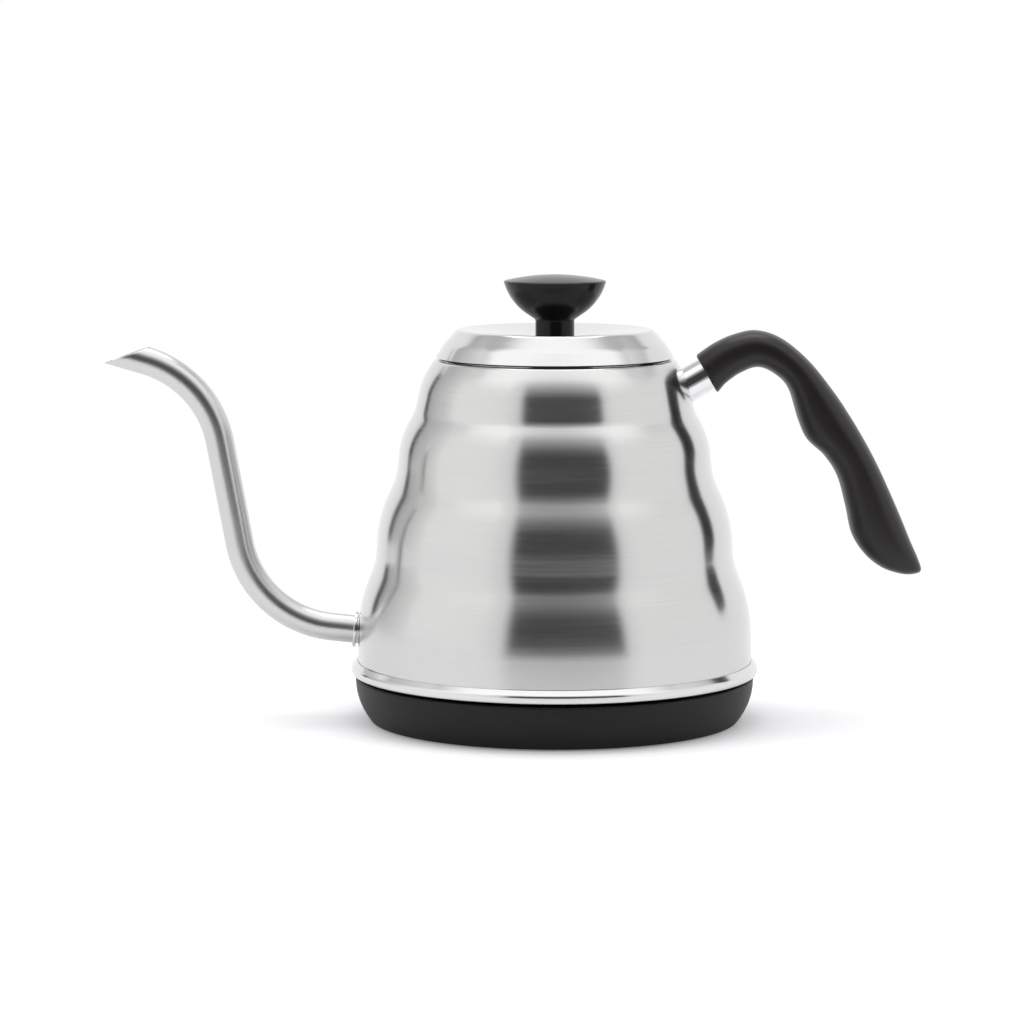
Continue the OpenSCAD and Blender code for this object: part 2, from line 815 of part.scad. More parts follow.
module contact_collar() {
  color(black)
  rotate_extrude() polygon([
    [collar_in_r, collar_z], [collar_out_r, collar_z], [collar_out_r, collar_top_z - 0.5],
    [collar_out_r - 0.5, collar_top_z], [collar_in_r + 0.4, collar_top_z],
    [collar_in_r, collar_top_z - 0.4]
  ]);
}

spring_sides = 8;
spring_rings_per_turn = 24;
spring_rings = floor(spring_turns * spring_rings_per_turn) + 1;
spring_points = [
  for (k = [0:spring_rings - 1])
    let (
      a = 360 * k / spring_rings_per_turn,
      up = k / (spring_rings - 1),
      z = spring_low_z + (spring_high_z - spring_low_z) * up,
      mid = spring_r + spring_step * spring_turns * (0.5 - up)
    )
    for (j = [0:spring_sides - 1])
      let (r = mid + spring_wire / 2 * cos(360 * j / spring_sides))
      [r * cos(a), r * sin(a), z - spring_wire / 2 * sin(360 * j / spring_sides)]
];

module collar_spring() {
  color(alloy) polyhedron(spring_points, tube_faces(spring_rings, spring_sides));
}

// ---- Switch pieces ----

module switch_frame() {
  color(black)
  at_switch() difference() {
    union() {
      translate([switch_step_r, -switch_w / 2, switch_z])
        cube([switch_face_r - switch_step_r, switch_w, switch_h]);
      translate([switch_back_r, -switch_w / 2, switch_z])
        cube([switch_step_r - switch_back_r, switch_w, switch_back_h]);
    }
    translate([switch_step_r + 0.2, -switch_w / 2 + switch_wall, switch_z + switch_wall])
      cube([20, switch_w - 2 * switch_wall, switch_h - 2 * switch_wall]);
    translate([rocker_axis_r, 0, switch_z - 1])
      cylinder(r = trunnion_r + fit_gap, h = switch_h + 2, $fn = 48);
  }
}

module power_switch() {
  front = switch_face_r - rocker_axis_r + 0.3;
  half = rocker_w / 2;
  color([0.12, 0.12, 0.12])
  at_switch() translate([rocker_axis_r, 0, 0]) rotate([0, 0, -rocker_tilt]) {
    translate([0, 0, rocker_mid_z - rocker_h / 2])
      linear_extrude(rocker_h)
        polygon([[-0.6, -half * 0.8], [front, -half], [front - half * tan(rocker_tilt), 0],
          [front, half], [-0.6, half * 0.8], [-1.6, 0]]);
    translate([0, 0, switch_z + 0.2]) cylinder(r = trunnion_r, h = switch_h - 0.4, $fn = 48);
  }
}

module switch_terminals() {
  color(brass)
  at_switch()
    for (side = [-1, 1])
      translate([switch_back_r - 4 - seat, side * 4 - 1.6, switch_z + 2.2]) cube([4, 3.2, 0.8]);
}

module base_leads() {
  lead_z = post_floor_z - lead_r - 0.1;
  mid_z = gland_z - 1.2;
  from_gland = gland_in_y - 2 * lead_r;
  side = polar(switch_back_r - 5.2, switch_at, 0);
  along_side = [-sin(switch_at), cos(switch_at), 0] * 4;
  tab_low = [0, 0, switch_z + 2.6];
  color(lead_red) {
    lead([[1.9, from_gland, mid_z], [7, from_gland - 3.6, mid_z],
      side + along_side + tab_low]);
    lead([side - along_side + tab_low, polar(34, switch_at - 20, lead_z),
      polar(post_band_r + 2.2, 20, lead_z), polar(lining_out_r + 1.1, 30, lead_z)]);
    lead([[-1.9, from_gland, mid_z], [-8, from_gland - 8, lead_z], polar(30, 140, lead_z),
      polar(post_band_r + 1.1, 150, lead_z)]);
    lead([[0, from_gland, mid_z + 2.4], [-2, from_gland - 12, mid_z + 0.5], [-2, 30, lead_z],
      [0, pin_r + 1.1, lead_z]]);
  }
}

// ---- Kettle: sheet metal ----

module body_shell() {
  color(steel)
  difference() {
    rotate_extrude() polygon(sheet_of(body_path, sheet));
    along(root - 10 * heading(root_head), root_head, 20, spout_r + fit_gap);
  }
}

module body_floor() {
  color(steel)
  translate([0, 0, floor_under_z])
    cylinder(r = r_at(inset(body_side, sheet), floor_z) - seat, h = sheet);
}

module foot_ring() {
  inner = body_foot_r + seat;
  color(chrome)
  rotate_extrude() polygon(concat(
    [[body_foot_r - sheet - 0.2, ring_z]],
    rounded(
      [[ring_r - 1.2, ring_z], [ring_r, ring_z + 0.4], [ring_r, ring_z + ring_h * 0.6],
        [inner + 0.5, ring_z + ring_h]],
      [0.9, 1.6]
    ),
    [[inner, ring_z + ring_h], [inner, foot_z - seat], [body_foot_r - sheet - 0.2, foot_z - seat]]
  ));
}

module spout_tube() {
  rings = len(spout_stations);
  color(steel)
  polyhedron(
    concat(
      [for (k = [0:rings - 1]) each spout_ring(k, spout_r)],
      [for (k = [0:rings - 1]) each spout_ring(k, spout_r - spout_wall)]
    ),
    hollow_faces(rings, spout_sides)
  );
}

module spout_collar() {
  from = root + 0.4 * heading(root_head);
  color(steel)
  difference() {
    along(from, root_head, collar_t, collar_d / 2);
    along(from - heading(root_head), root_head, collar_t + 2, spout_r + seat);
  }
}

// ---- Kettle: underside ----

module underside_cover() {
  socket_hole_r = socket_out_r + fit_gap * 2;
  color(black)
  difference() {
    rotate_extrude() polygon([
      [socket_hole_r, cover_z], [cover_r, cover_z], [cover_top_r - 0.2, foot_z - 0.9],
      [cover_top_r - 0.2, seal_z], [cover_top_r - 1, seal_z], [cover_top_r - 1, seal_z + seal_h],
      [cover_top_r - 0.2, seal_z + seal_h], [cover_top_r - 0.2, cover_flange_top_z],
      [cover_top_r - 2.2, cover_flange_top_z], [cover_top_r - 2.2, foot_z],
      [cover_r - 0.8, cover_z + cover_t], [socket_hole_r, cover_z + cover_t]
    ]);
    ring_of(3, stud_ring_r, 30)
      translate([0, 0, cover_z - 1]) cylinder(r = stud_screw_r + 0.2, h = 10, $fn = 48);
    ring_of(3, stud_ring_r, 30)
      translate([0, 0, cover_z - 1]) cylinder(r = 3, h = 1.9, $fn = 48);
  }
}

module cover_seal() {
  color(rubber_black)
  tube(cover_top_r - 1 + seat, body_foot_r - sheet - seat - 0.05,
    seal_z + seat, seal_z + seal_h - seat);
}

module cover_studs() {
  low = cover_z + cover_t + seat;
  color(dark_steel)
  ring_of(3, stud_ring_r, 30)
    tube(stud_screw_r + fit_gap, stud_r, low, floor_under_z - seat);
}

module cover_screws() {
  color(dark_steel)
  ring_of(3, stud_ring_r, 30)
    translate([0, 0, cover_z + 0.9 - seat]) screw(stud_screw_r, stud_screw_l, 2.7, 0.8);
}

module heat_plate() {
  color(alloy)
  difference() {
    translate([0, 0, heat_under_z]) cylinder(r = heat_plate_d / 2, h = heat_plate_t - seat);
    ring_of(3, socket_screw_ring_r, 60)
      translate([0, 0, heat_under_z - 1])
        cylinder(r = socket_screw_r + fit_gap, h = 1 + heat_plate_t - 0.6, $fn = 48);
  }
}

element_from = -element_span / 2;

module heating_element() {
  color(dark_steel)
  translate([0, 0, element_z - seat])
    rotate([0, 0, element_from])
      rotate_extrude(angle = element_span)
        translate([element_r, 0]) circle(r = element_d / 2, $fn = 48);
}

module element_pins() {
  color(brass)
  for (side = [-1, 1])
    rotate([0, 0, side * element_span / 2])
      translate([element_r, side * seat, element_z - seat])
        rotate([-90 * side, 0, 0]) cylinder(r = 1.2, h = 5, $fn = 48);
}

module thermostat() {
  at = polar(control_ring_r, thermostat_at, heat_under_z - thermostat_h);
  color(black)
  translate(at) {
    cylinder(r = thermostat_r, h = thermostat_h - seat);
    for (side = [-1, 1])
      rotate([0, 0, thermostat_at])
        translate([-tab_w / 2, side * thermostat_tab_at - 0.4, -1.8]) cube([tab_w, 0.8, 1.8 + seat]);
  }
}

module thermal_fuse() {
  at = polar(control_ring_r, fuse_at, heat_under_z - fuse_r - seat);
  color([0.85, 0.83, 0.76])
  translate(at)
    rotate([0, 0, fuse_at])
      translate([0, fuse_l / 2, 0]) rotate([90, 0, 0]) cylinder(r = fuse_r, h = fuse_l, $fn = 48);
}

// The socket's blades run outwards through its top, one for each contact
blade_from = [sleeve_in_r, band_in_r, socket_band_r];
blade_angles = [0, 120, 240];

module socket_blades(gap) {
  for (i = [0:2])
    rotate([0, 0, blade_angles[i]]) {
      translate([blade_from[i] - gap, -tab_w / 2 - gap, blade_z - gap])
        cube([blade_tip_r - blade_from[i] + gap, tab_w + 2 * gap, blade_t + 2 * gap]);
      translate([blade_from[i] - gap, -tab_w / 2 - gap, post_top_z - 0.6])
        cube([contact_t + 2 * gap, tab_w + 2 * gap, blade_z - post_top_z + 0.6 + seat]);
    }
}

module kettle_socket() {
  flange_z = heat_under_z - socket_flange_t;
  color([0.16, 0.16, 0.16])
  difference() {
    rotate_extrude() polygon([
      [0, socket_top_z], [sleeve_mid_r, socket_top_z], [sleeve_mid_r, cover_z + 0.6],
      [band_in_r, cover_z + 0.6], [band_in_r, socket_top_z], [socket_in_r + fit_gap, socket_top_z],
      [socket_in_r + fit_gap, cover_z + 0.8], [socket_in_r + 0.8, cover_z], [socket_out_r, cover_z],
      [socket_out_r, flange_z], [socket_flange_r, flange_z], [socket_flange_r, heat_under_z - seat],
      [0, heat_under_z - seat]
    ]);
    ring_of(3, socket_screw_ring_r, 60)
      translate([0, 0, flange_z - 1]) cylinder(r = socket_screw_r + 0.15, h = far, $fn = 48);
    socket_blades(fit_gap);
  }
}

module socket_contacts() {
  low = cover_z + 0.8;
  color(brass) {
    difference() {
      union() {
        tube(sleeve_in_r, sleeve_mid_r - seat, low, socket_top_z - seat);
        tube(band_in_r + seat, band_out_r, low, socket_top_z - seat);
        tube(socket_band_r, socket_in_r, low + 0.2, socket_top_z - seat);
        socket_blades(0);
      }
      translate([0, 0, low - 1]) cylinder(r = sleeve_in_r, h = far);
      translate([0, 0, low - 1])
        tube(band_out_r, socket_band_r, 0, socket_top_z - low + 1 - seat);
    }
  }
}

module socket_screws() {
  color(dark_steel)
  ring_of(3, socket_screw_ring_r, 60)
    translate([0, 0, heat_under_z - socket_flange_t - seat])
      screw(socket_screw_r, socket_screw_l, 2.2, 1.4);
}

module kettle_leads() {
  z = blade_z + blade_t / 2;
  low_z = heat_under_z - thermostat_h - 0.9;
  tip = blade_tip_r + lead_r + 0.3;
  pin_end = element_span / 2;
  pin_a = polar(element_r, pin_end, element_z) + polar(5.6 + lead_r, pin_end + 90, 0);
  pin_b = polar(element_r, -pin_end, element_z) + polar(5.6 + lead_r, -pin_end - 90, 0);
  fuse_mid = polar(control_ring_r, fuse_at, heat_under_z - fuse_r);
  fuse_end = polar(fuse_l / 2 + lead_r + 0.6, fuse_at + 90, 0);
  stat = polar(control_ring_r, thermostat_at, low_z);
  stat_tab = polar(thermostat_tab_at, thermostat_at + 90, 0);
  color(lead_red) {
    lead([polar(tip, 0, z), polar(tip + 1, 40, low_z), stat - stat_tab + [0.4, -2.6, 0]]);
    lead([stat + stat_tab + [-0.4, -2.6, 0], polar(tip + 1, 125, low_z),
      polar(control_ring_r, 165, low_z), pin_a]);
    lead([polar(tip, 240, z), fuse_mid + fuse_end * 1.35 + [3, -4, -1], fuse_mid + fuse_end]);
    lead([fuse_mid - fuse_end, pin_b]);
  }
}

// ---- Handle pieces ----

module handle_ferrule() {
  color(chrome)
  difference() {
    along(ferrule_root - ferrule_d * heading(ferrule_angle), ferrule_angle,
      ferrule_d + ferrule_l - seat, ferrule_d / 2);
    along(ferrule_root - far * heading(ferrule_angle), ferrule_angle,
      2 * far, ferrule_d / 2 - ferrule_wall);
    body_solid();
  }
}

module handle_tang() {
  color(dark_steel)
  difference() {
    along(ferrule_root - ferrule_d * heading(ferrule_angle), ferrule_angle,
      ferrule_d + ferrule_l + tang_depth, tang_d / 2);
    body_solid();
    at_handle_screw()
      translate([0, 0, handle_screw_head_z]) cylinder(r = handle_screw_r + fit_gap, h = 12, $fn = 48);
  }
}

module handle() {
  color([0.09, 0.08, 0.09])
  difference() {
    translate([face[0], 0, face[1]])
      polyhedron(
        [for (k = [0:handle_rings - 1]) each handle_ring(k)],
        tube_faces(handle_rings, handle_sides)
      );
    along(face - ferrule_d * heading(ferrule_angle), ferrule_angle,
      ferrule_d + tang_depth + 0.3, tang_d / 2 + fit_gap);
    at_handle_screw() {
      translate([0, 0, handle_screw_head_z - handle_w])
        cylinder(r = handle_screw_head_r + 0.3, h = handle_w, $fn = 48);
      translate([0, 0, handle_screw_head_z - 1])
        cylinder(r = handle_screw_r + 0.2, h = tang_d, $fn = 48);
    }
  }
}

module handle_screw() {
  color(dark_steel)
  at_handle_screw()
    translate([0, 0, handle_screw_head_z - seat])
      screw(handle_screw_r, handle_screw_l, handle_screw_head_r, 1.4);
}

// ---- Lid pieces ----

module lid_shell() {
  color(steel)
  difference() {
    rotate_extrude() polygon(sheet_of(lid_path, sheet));
    translate([0, stem_d / 2 + 14, lid_z]) cylinder(r = vent_d / 2, h = 20, $fn = 48);
  }
}

module lid_ring() {
  low_z = lid_z - lid_ring_h;
  flange_r = r_at(inset(lid_path, sheet), lid_ring_flange_z + sheet) - 0.06;
  color(steel)
  rotate_extrude() polygon([
    [lid_ring_r - sheet, low_z], [lid_ring_r, low_z], [lid_ring_r, lid_ring_flange_z],
    [flange_r, lid_ring_flange_z], [flange_r, lid_ring_flange_z + sheet],
    [lid_ring_r - sheet, lid_ring_flange_z + sheet]
  ]);
}

module lid_knob() {
  side = rounded(
    [
      [stem_d / 2, stem_z + seat], [stem_d / 2, cup_z], [knob_r * 0.89, cup_z + cup_h * 0.466],
      [knob_r, knob_rim_z], [knob_r - 0.5, knob_rim_z + 0.3]
    ],
    [0.9, cup_round, 0.25]
  );
  dome_r = knob_r - 0.5;
  dome = [for (i = [1:dome_steps])
    let (r = dome_r * (1 - i / dome_steps))
    [r, knob_rim_z + 0.3 + (dome_h - 0.3) * (1 - pow(r / dome_r, 2))]];
  color(black)
  rotate_extrude() polygon(concat(
    [[knob_screw_d / 2 + fit_gap, stem_z + seat]],
    side,
    dome,
    [[0, stem_z + knob_bore_h], [knob_screw_d / 2 + fit_gap, stem_z + knob_bore_h - 1]]
  ));
}

module knob_washer() {
  color(dark_steel)
  tube(knob_screw_d / 2 + 0.2, stem_d / 2 - 1, stem_z - sheet - 1 - seat, stem_z - sheet - seat);
}

module knob_screw() {
  color(dark_steel)
  translate([0, 0, stem_z - sheet - 1 - 2 * seat])
    screw(knob_screw_d / 2, sheet + 1 + knob_bore_h - 1.5, knob_screw_d * 0.9, knob_screw_d * 0.6);
}

base_shell();
base_plate();
base_feet();
base_screws();
cord_gland();
contact_post();
post_contacts();
post_screws();
contact_collar();
collar_spring();
switch_frame();
power_switch();
switch_terminals();
base_leads();
body_shell();
body_floor();
foot_ring();
spout_tube();
spout_collar();
underside_cover();
cover_seal();
cover_studs();
cover_screws();
heat_plate();
heating_element();
element_pins();
thermostat();
thermal_fuse();
kettle_socket();
socket_contacts();
socket_screws();
kettle_leads();
handle_ferrule();
handle_tang();
handle();
handle_screw();
lid_shell();
lid_ring();
lid_knob();
knob_washer();
knob_screw();
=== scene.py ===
"""A gooseneck kettle on its cordless power base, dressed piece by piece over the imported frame."""

import math

import bmesh
import bpy
from mathutils import Matrix, Vector


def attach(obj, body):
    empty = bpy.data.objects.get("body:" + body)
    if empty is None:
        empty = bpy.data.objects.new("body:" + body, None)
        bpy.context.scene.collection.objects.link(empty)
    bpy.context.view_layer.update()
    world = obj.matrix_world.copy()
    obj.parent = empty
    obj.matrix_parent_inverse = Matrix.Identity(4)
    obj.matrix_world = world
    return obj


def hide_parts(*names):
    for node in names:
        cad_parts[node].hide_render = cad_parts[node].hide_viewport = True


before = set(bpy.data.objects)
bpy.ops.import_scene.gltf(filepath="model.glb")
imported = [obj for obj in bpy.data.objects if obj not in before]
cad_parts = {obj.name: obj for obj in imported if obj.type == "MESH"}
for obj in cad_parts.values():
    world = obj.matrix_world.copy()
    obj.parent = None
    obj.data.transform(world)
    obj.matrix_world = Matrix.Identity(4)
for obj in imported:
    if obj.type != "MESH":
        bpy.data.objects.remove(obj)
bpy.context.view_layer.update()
scene = bpy.context.scene
MM = 0.001

# ---- Studio ----
# A white paper sweep under a softbox overhead and one at each side, in metres. In place of the
# lamps, shiny pieces see cloths: a curtain behind the camera that fades from black to white, a
# panel at each side, a narrow dark one at the left and a bright strip above.

WHITE = (1, 1, 1, 1)
LENS_MM = 132.84
SENSOR_MM = 36
CAMERA_AT = (-0.01472, -1.2963, 0.2279)
CAMERA_DIP = 6.845
# The paper glows a little, more so to the camera, and turns plain white across the sweep.
FLOOR_HALF = 6.0
FLOOR_COLOUR = (0.83, 0.83, 0.85, 1)
FLOOR_LIFT, FLOOR_LIFT_SEEN = 0.02, 0.16
SWEEP_FROM, SWEEP_TO = 0.16, 0.45
# Stops of (place, brightness): the curtain's by height, the apron's by distance from the
# kettle, and both cloths' sides by the slope off their middle, as the kettle sees them.
CLOTH_LIFT = 0.003
CURTAIN_OFF, CLOTH_MIDDLE = 2.0, 0.155
CURTAIN = [(1.15, 0.05), (2.95, 0.92), (3.3, 1.32)]
CLOTH_SIDES = [(0.62, 0.0), (0.76, 0.88), (1.1, 1.0)]
APRON = [(0.26, 0.9), (0.42, 0.31), (0.76, 0.26), (1.08, 0.05)]
SIDE_FADE = [(0.85, 0.50), (0.68, 0.60), (0.24, 0.87), (0.11, 0.97)]
PANELS = {
    "left_panel": {"from": (-0.98, 0.85), "to": (-1.30, 0.11), "low": 0.0, "high": 1.5,
                   "axis": "Y", "stops": SIDE_FADE},
    "right_panel": {"from": (0.98, 0.85), "to": (1.30, 0.11), "low": 0.85, "high": 1.5,
                    "axis": "Y", "stops": SIDE_FADE},
    "left_edge": {"from": (-0.88, 0.93), "to": (-1.0, 0.82), "low": 0.0, "high": 0.6,
                  "axis": "Z", "stops": [(0.0, 0.012), (0.6, 0.012)]}}
TOP_STRIP = {"half": 0.5, "near": 0.12, "far": 0.95, "up": 1.46, "level": 2.8}
# How bright the air is to matt pieces, and where it leaves plain white for shiny ones: high up,
# grey at the back and bright in front, and a little brighter far to the left.
AMBIENT = 0.42
CEILING_FROM, CEILING_TO = 0.52, 0.72
CEILING_BACK, CEILING_FRONT = 0.60, 1.33
CEILING_BACK_TO, CEILING_FRONT_FROM = 0.10, -0.10
LEFT_FROM, LEFT_TO, LEFT_LIT = -0.62, -0.88, 1.06


def node(tree, kind, inputs=None, **settings):
    """A new node with its settings, and with each named input set or linked."""
    made = tree.nodes.new(kind)
    for name, value in settings.items():
        setattr(made, name, value)
    for name, value in (inputs or {}).items():
        if isinstance(value, bpy.types.NodeSocket):
            tree.links.new(value, made.inputs[name])
        else:
            made.inputs[name].default_value = value
    return made


def arithmetic(tree, operation, *values):
    return node(tree, "ShaderNodeMath", dict(enumerate(values)), operation=operation).outputs[0]


def ramp(tree, value, start, end, low, high):
    """Runs straight from low to high between start and end, and holds its level outside them."""
    made = node(tree, "ShaderNodeMapRange", {
        "Value": value, "From Min": start, "From Max": end, "To Min": low, "To Max": high})
    return made.outputs[0]


def flat_piece(name, corners, material):
    """A flat sheet of the studio, which is no part of the kettle."""
    mesh = bpy.data.meshes.new(name)
    mesh.from_pydata(corners, [], [tuple(range(len(corners)))])
    mesh.materials.append(material)
    made = bpy.data.objects.new(name, mesh)
    scene.collection.objects.link(made)
    return made


def blank_material(name):
    material = bpy.data.materials.new(name)
    material.use_nodes = True
    material.node_tree.nodes.clear()
    return material, material.node_tree


def seen_directly(tree):
    """1 where the ray comes from the camera or off something shiny or clear."""
    path = node(tree, "ShaderNodeLightPath").outputs
    shiny = arithmetic(tree, "MAXIMUM", path["Is Camera Ray"], path["Is Glossy Ray"])
    return arithmetic(tree, "MAXIMUM", shiny, path["Is Transmission Ray"])


scene.view_settings.view_transform = "Standard"

camera_data = bpy.data.cameras.new("Camera")
camera_data.sensor_width = SENSOR_MM
camera_data.lens = LENS_MM
camera = bpy.data.objects.new("Camera", camera_data)
camera.location = CAMERA_AT
camera.rotation_euler = (math.radians(90 - CAMERA_DIP), 0, 0)
scene.collection.objects.link(camera)
scene.camera = camera

floor_paper, tree = blank_material("Floor paper")
paper = node(tree, "ShaderNodeBsdfDiffuse", {"Color": FLOOR_COLOUR})
from_camera = node(tree, "ShaderNodeLightPath").outputs["Is Camera Ray"]
lift = node(tree, "ShaderNodeEmission", {
    "Color": WHITE,
    "Strength": arithmetic(tree, "MULTIPLY_ADD", from_camera, FLOOR_LIFT_SEEN, FLOOR_LIFT)})
lit = node(tree, "ShaderNodeAddShader", {0: paper.outputs[0], 1: lift.outputs[0]})
distance = node(tree, "ShaderNodeVectorMath", {
    0: node(tree, "ShaderNodeTexCoord").outputs["Object"]}, operation="LENGTH")
sweep = node(tree, "ShaderNodeMapRange", {
    "Value": distance.outputs["Value"], "From Min": SWEEP_FROM, "From Max": SWEEP_TO},
    interpolation_type="SMOOTHSTEP")
bright = node(tree, "ShaderNodeEmission", {"Color": WHITE, "Strength": 1.0})
swept = node(tree, "ShaderNodeMixShader", {
    0: sweep.outputs[0], 1: lit.outputs[0], 2: bright.outputs[0]})
mixed = node(tree, "ShaderNodeMixShader", {
    0: seen_directly(tree), 1: paper.outputs[0], 2: swept.outputs[0]})
node(tree, "ShaderNodeOutputMaterial", {"Surface": mixed.outputs[0]})
flat_piece("floor", [(x * FLOOR_HALF, y * FLOOR_HALF, 0)
                     for x, y in ((-1, -1), (1, -1), (1, 1), (-1, 1))], floor_paper)


def graded(tree, place, stops):
    """A brightness that runs straight from one stop to the next as the place moves on."""
    level = stops[0][1]
    for (start, before), (end, after) in zip(stops[:-1], stops[1:]):
        level = arithmetic(tree, "ADD", level, ramp(tree, place, start, end, 0.0, after - before))
    return level


def glowing(name, axis, stops, sides=None):
    """A plain cloth whose brightness changes along one axis, and softly out across its sides."""
    material, tree = blank_material(name)
    at = node(tree, "ShaderNodeSeparateXYZ", {
        0: node(tree, "ShaderNodeTexCoord").outputs["Object"]}).outputs
    level = graded(tree, at[axis], stops)
    if sides:
        across = arithmetic(tree, "ADD", arithmetic(tree, "DIVIDE", at["X"], at["Y"]), CLOTH_MIDDLE)
        off_middle = arithmetic(tree, "ABSOLUTE", across)
        level = arithmetic(tree, "MAXIMUM", level, graded(tree, off_middle, sides))
    glow = node(tree, "ShaderNodeEmission", {"Color": WHITE, "Strength": level})
    node(tree, "ShaderNodeOutputMaterial", {"Surface": glow.outputs[0]})
    return material


def hang(name, corners, cloth):
    """A cloth that only shiny pieces see, hung just clear of the paper."""
    hung = flat_piece(name, [(x, y, z + CLOTH_LIFT) for x, y, z in corners], cloth)
    hung.visible_camera = False
    hung.visible_diffuse = False
    hung.visible_shadow = False


wide, top, near = CLOTH_SIDES[-1][0], CURTAIN[-1][0], APRON[0][0]
left, right = CLOTH_MIDDLE - wide, CLOTH_MIDDLE + wide
curtain_foot = [(left * CURTAIN_OFF, -CURTAIN_OFF, 0), (right * CURTAIN_OFF, -CURTAIN_OFF, 0)]
hang("curtain", curtain_foot + [(x, y, top) for x, y, z in curtain_foot[::-1]],
     glowing("Curtain cloth", "Z", CURTAIN, CLOTH_SIDES))
# Close in, the curtain's foot comes forward over the floor and pales to white.
hang("curtain_apron", [(left * near, -near, 0), (right * near, -near, 0)] + curtain_foot[::-1],
     glowing("Apron cloth", "Y", [(-off, level) for off, level in APRON], CLOTH_SIDES))
for name, panel in PANELS.items():
    low_edge = [(*panel["from"], panel["low"]), (*panel["to"], panel["low"])]
    hang(name, low_edge + [(x, y, panel["high"]) for x, y, z in low_edge[::-1]],
         glowing(name + "_cloth", panel["axis"], panel["stops"]))
strip = TOP_STRIP
hang("top_strip", [(x * strip["half"], strip[edge], strip["up"])
                   for x, edge in ((-1, "near"), (1, "near"), (1, "far"), (-1, "far"))],
     glowing("Top strip cloth", "Z", [(0.0, strip["level"]), (strip["up"], strip["level"])]))

world = bpy.data.worlds.new("Studio air")
scene.world = world
world.use_nodes = True
tree = world.node_tree
tree.nodes.clear()
toward = node(tree, "ShaderNodeSeparateXYZ", {
    0: node(tree, "ShaderNodeTexCoord").outputs["Generated"]}).outputs
ceiling_level = ramp(
    tree, toward["Y"], CEILING_BACK_TO, CEILING_FRONT_FROM, CEILING_BACK, CEILING_FRONT)
ceiling = ramp(tree, toward["Z"], CEILING_FROM, CEILING_TO, 1.0, ceiling_level)
left_wall = ramp(tree, toward["X"], LEFT_FROM, LEFT_TO, 1.0, LEFT_LIT)
shiny_level = arithmetic(tree, "MULTIPLY", ceiling, left_wall)
from_camera = node(tree, "ShaderNodeLightPath").outputs["Is Camera Ray"]
shown_level = ramp(tree, from_camera, 0.0, 1.0, shiny_level, 1.0)
air_level = ramp(tree, seen_directly(tree), 0.0, 1.0, AMBIENT, shown_level)
air = node(tree, "ShaderNodeBackground", {"Color": WHITE, "Strength": air_level})
node(tree, "ShaderNodeOutputWorld", {"Surface": air.outputs[0]})

# Name, place, aimed at, width, height, watts
LAMPS = [
    ("overhead softbox", (0.0, 0.2, 1.45), (0, 0, 0.05), 2.0, 1.3, 19),
    ("left softbox", (-1.35, -0.75, 0.65), (0, 0, 0.08), 0.9, 1.1, 8),
    ("right softbox", (1.35, -0.75, 0.65), (0, 0, 0.08), 0.9, 1.1, 8),
]
for name, place, aim, width, height, watts in LAMPS:
    lamp = bpy.data.lights.new(name, "AREA")
    lamp.shape = "RECTANGLE"
    lamp.size, lamp.size_y, lamp.energy = width, height, watts
    box = bpy.data.objects.new(name, lamp)
    box.location = place
    box.rotation_euler = (Vector(aim) - Vector(place)).to_track_quat("-Z", "Y").to_euler()
    box.visible_glossy = False
    box.visible_camera = False
    scene.collection.objects.link(box)

# ---- Base bowl and bottom plate ----
# Two injection mouldings in black ABS with a fine spark-eroded grain. The bowl has a shallow
# dish that the kettle nests in, and the plate closes it from below with four screws.

BASE_BLACK = (0.011, 0.0105, 0.011, 1)
PIT_DEPTH = 0.03
# Shares of the colour: painted shade in the grain's pits, and a painted sheen on their tops
PIT_SHADE, PIT_SHINE = 0.86, 1.12
FLOAT, VECTOR, COLOUR = "NodeSocketFloat", "NodeSocketVector", "NodeSocketColor"


def shader_group(name, inputs, outputs):
    """An empty node group with its sockets; returns the tree, its inputs and its output node."""
    group = bpy.data.node_groups.new(name, "ShaderNodeTree")
    for label, kind, value in inputs:
        made = group.interface.new_socket(name=label, in_out="INPUT", socket_type=kind)
        made.default_value = value
    for label, kind in outputs:
        group.interface.new_socket(name=label, in_out="OUTPUT", socket_type=kind)
    return group, group.nodes.new("NodeGroupInput").outputs, group.nodes.new("NodeGroupOutput")


def give(tree, out, values):
    """Hands the named values out of a group."""
    for label, value in values.items():
        tree.links.new(value, out.inputs[label])


# Moulded grain: fine pits of the tool's texture, and the faint cloudiness of a handled surface. The
# pits are painted darker as painted shade, and their tops lighter as a painted sheen.
tree, given, out = shader_group(
    "Moulded grain",
    [("Per mm", FLOAT, 3.0), ("Depth", FLOAT, 0.1), ("Roughness", FLOAT, 0.4),
     ("Cloud", FLOAT, 0.05), ("Colour", COLOUR, (0.02, 0.02, 0.02, 1))],
    [("Colour", COLOUR), ("Roughness", FLOAT), ("Normal", VECTOR)])
grain_group = tree
place = node(tree, "ShaderNodeTexCoord").outputs["Object"]
pits = node(tree, "ShaderNodeTexNoise", {
    "Vector": place, "Scale": arithmetic(tree, "MULTIPLY", given["Per mm"], 1 / MM),
    "Detail": 2.0, "Roughness": 0.6}).outputs["Fac"]
cloud = node(tree, "ShaderNodeTexNoise", {
    "Vector": place, "Scale": 45.0, "Detail": 4.0, "Roughness": 0.55, "Distortion": 0.4})
cloud_off = arithmetic(tree, "SUBTRACT", cloud.outputs["Fac"], 0.5)
# Painted shade and sheen: the colour darkens in the pits and lightens on their tops
shade = node(tree, "ShaderNodeVectorMath", {
    0: given["Colour"], "Scale": ramp(tree, pits, 0.3, 0.7, PIT_SHADE, PIT_SHINE)},
    operation="SCALE")
bump = node(tree, "ShaderNodeBump", {
    "Height": pits, "Strength": given["Depth"], "Distance": PIT_DEPTH * MM})
give(tree, out, {
    "Colour": shade.outputs[0], "Normal": bump.outputs["Normal"],
    "Roughness": arithmetic(tree, "MULTIPLY_ADD", cloud_off, given["Cloud"], given["Roughness"])})


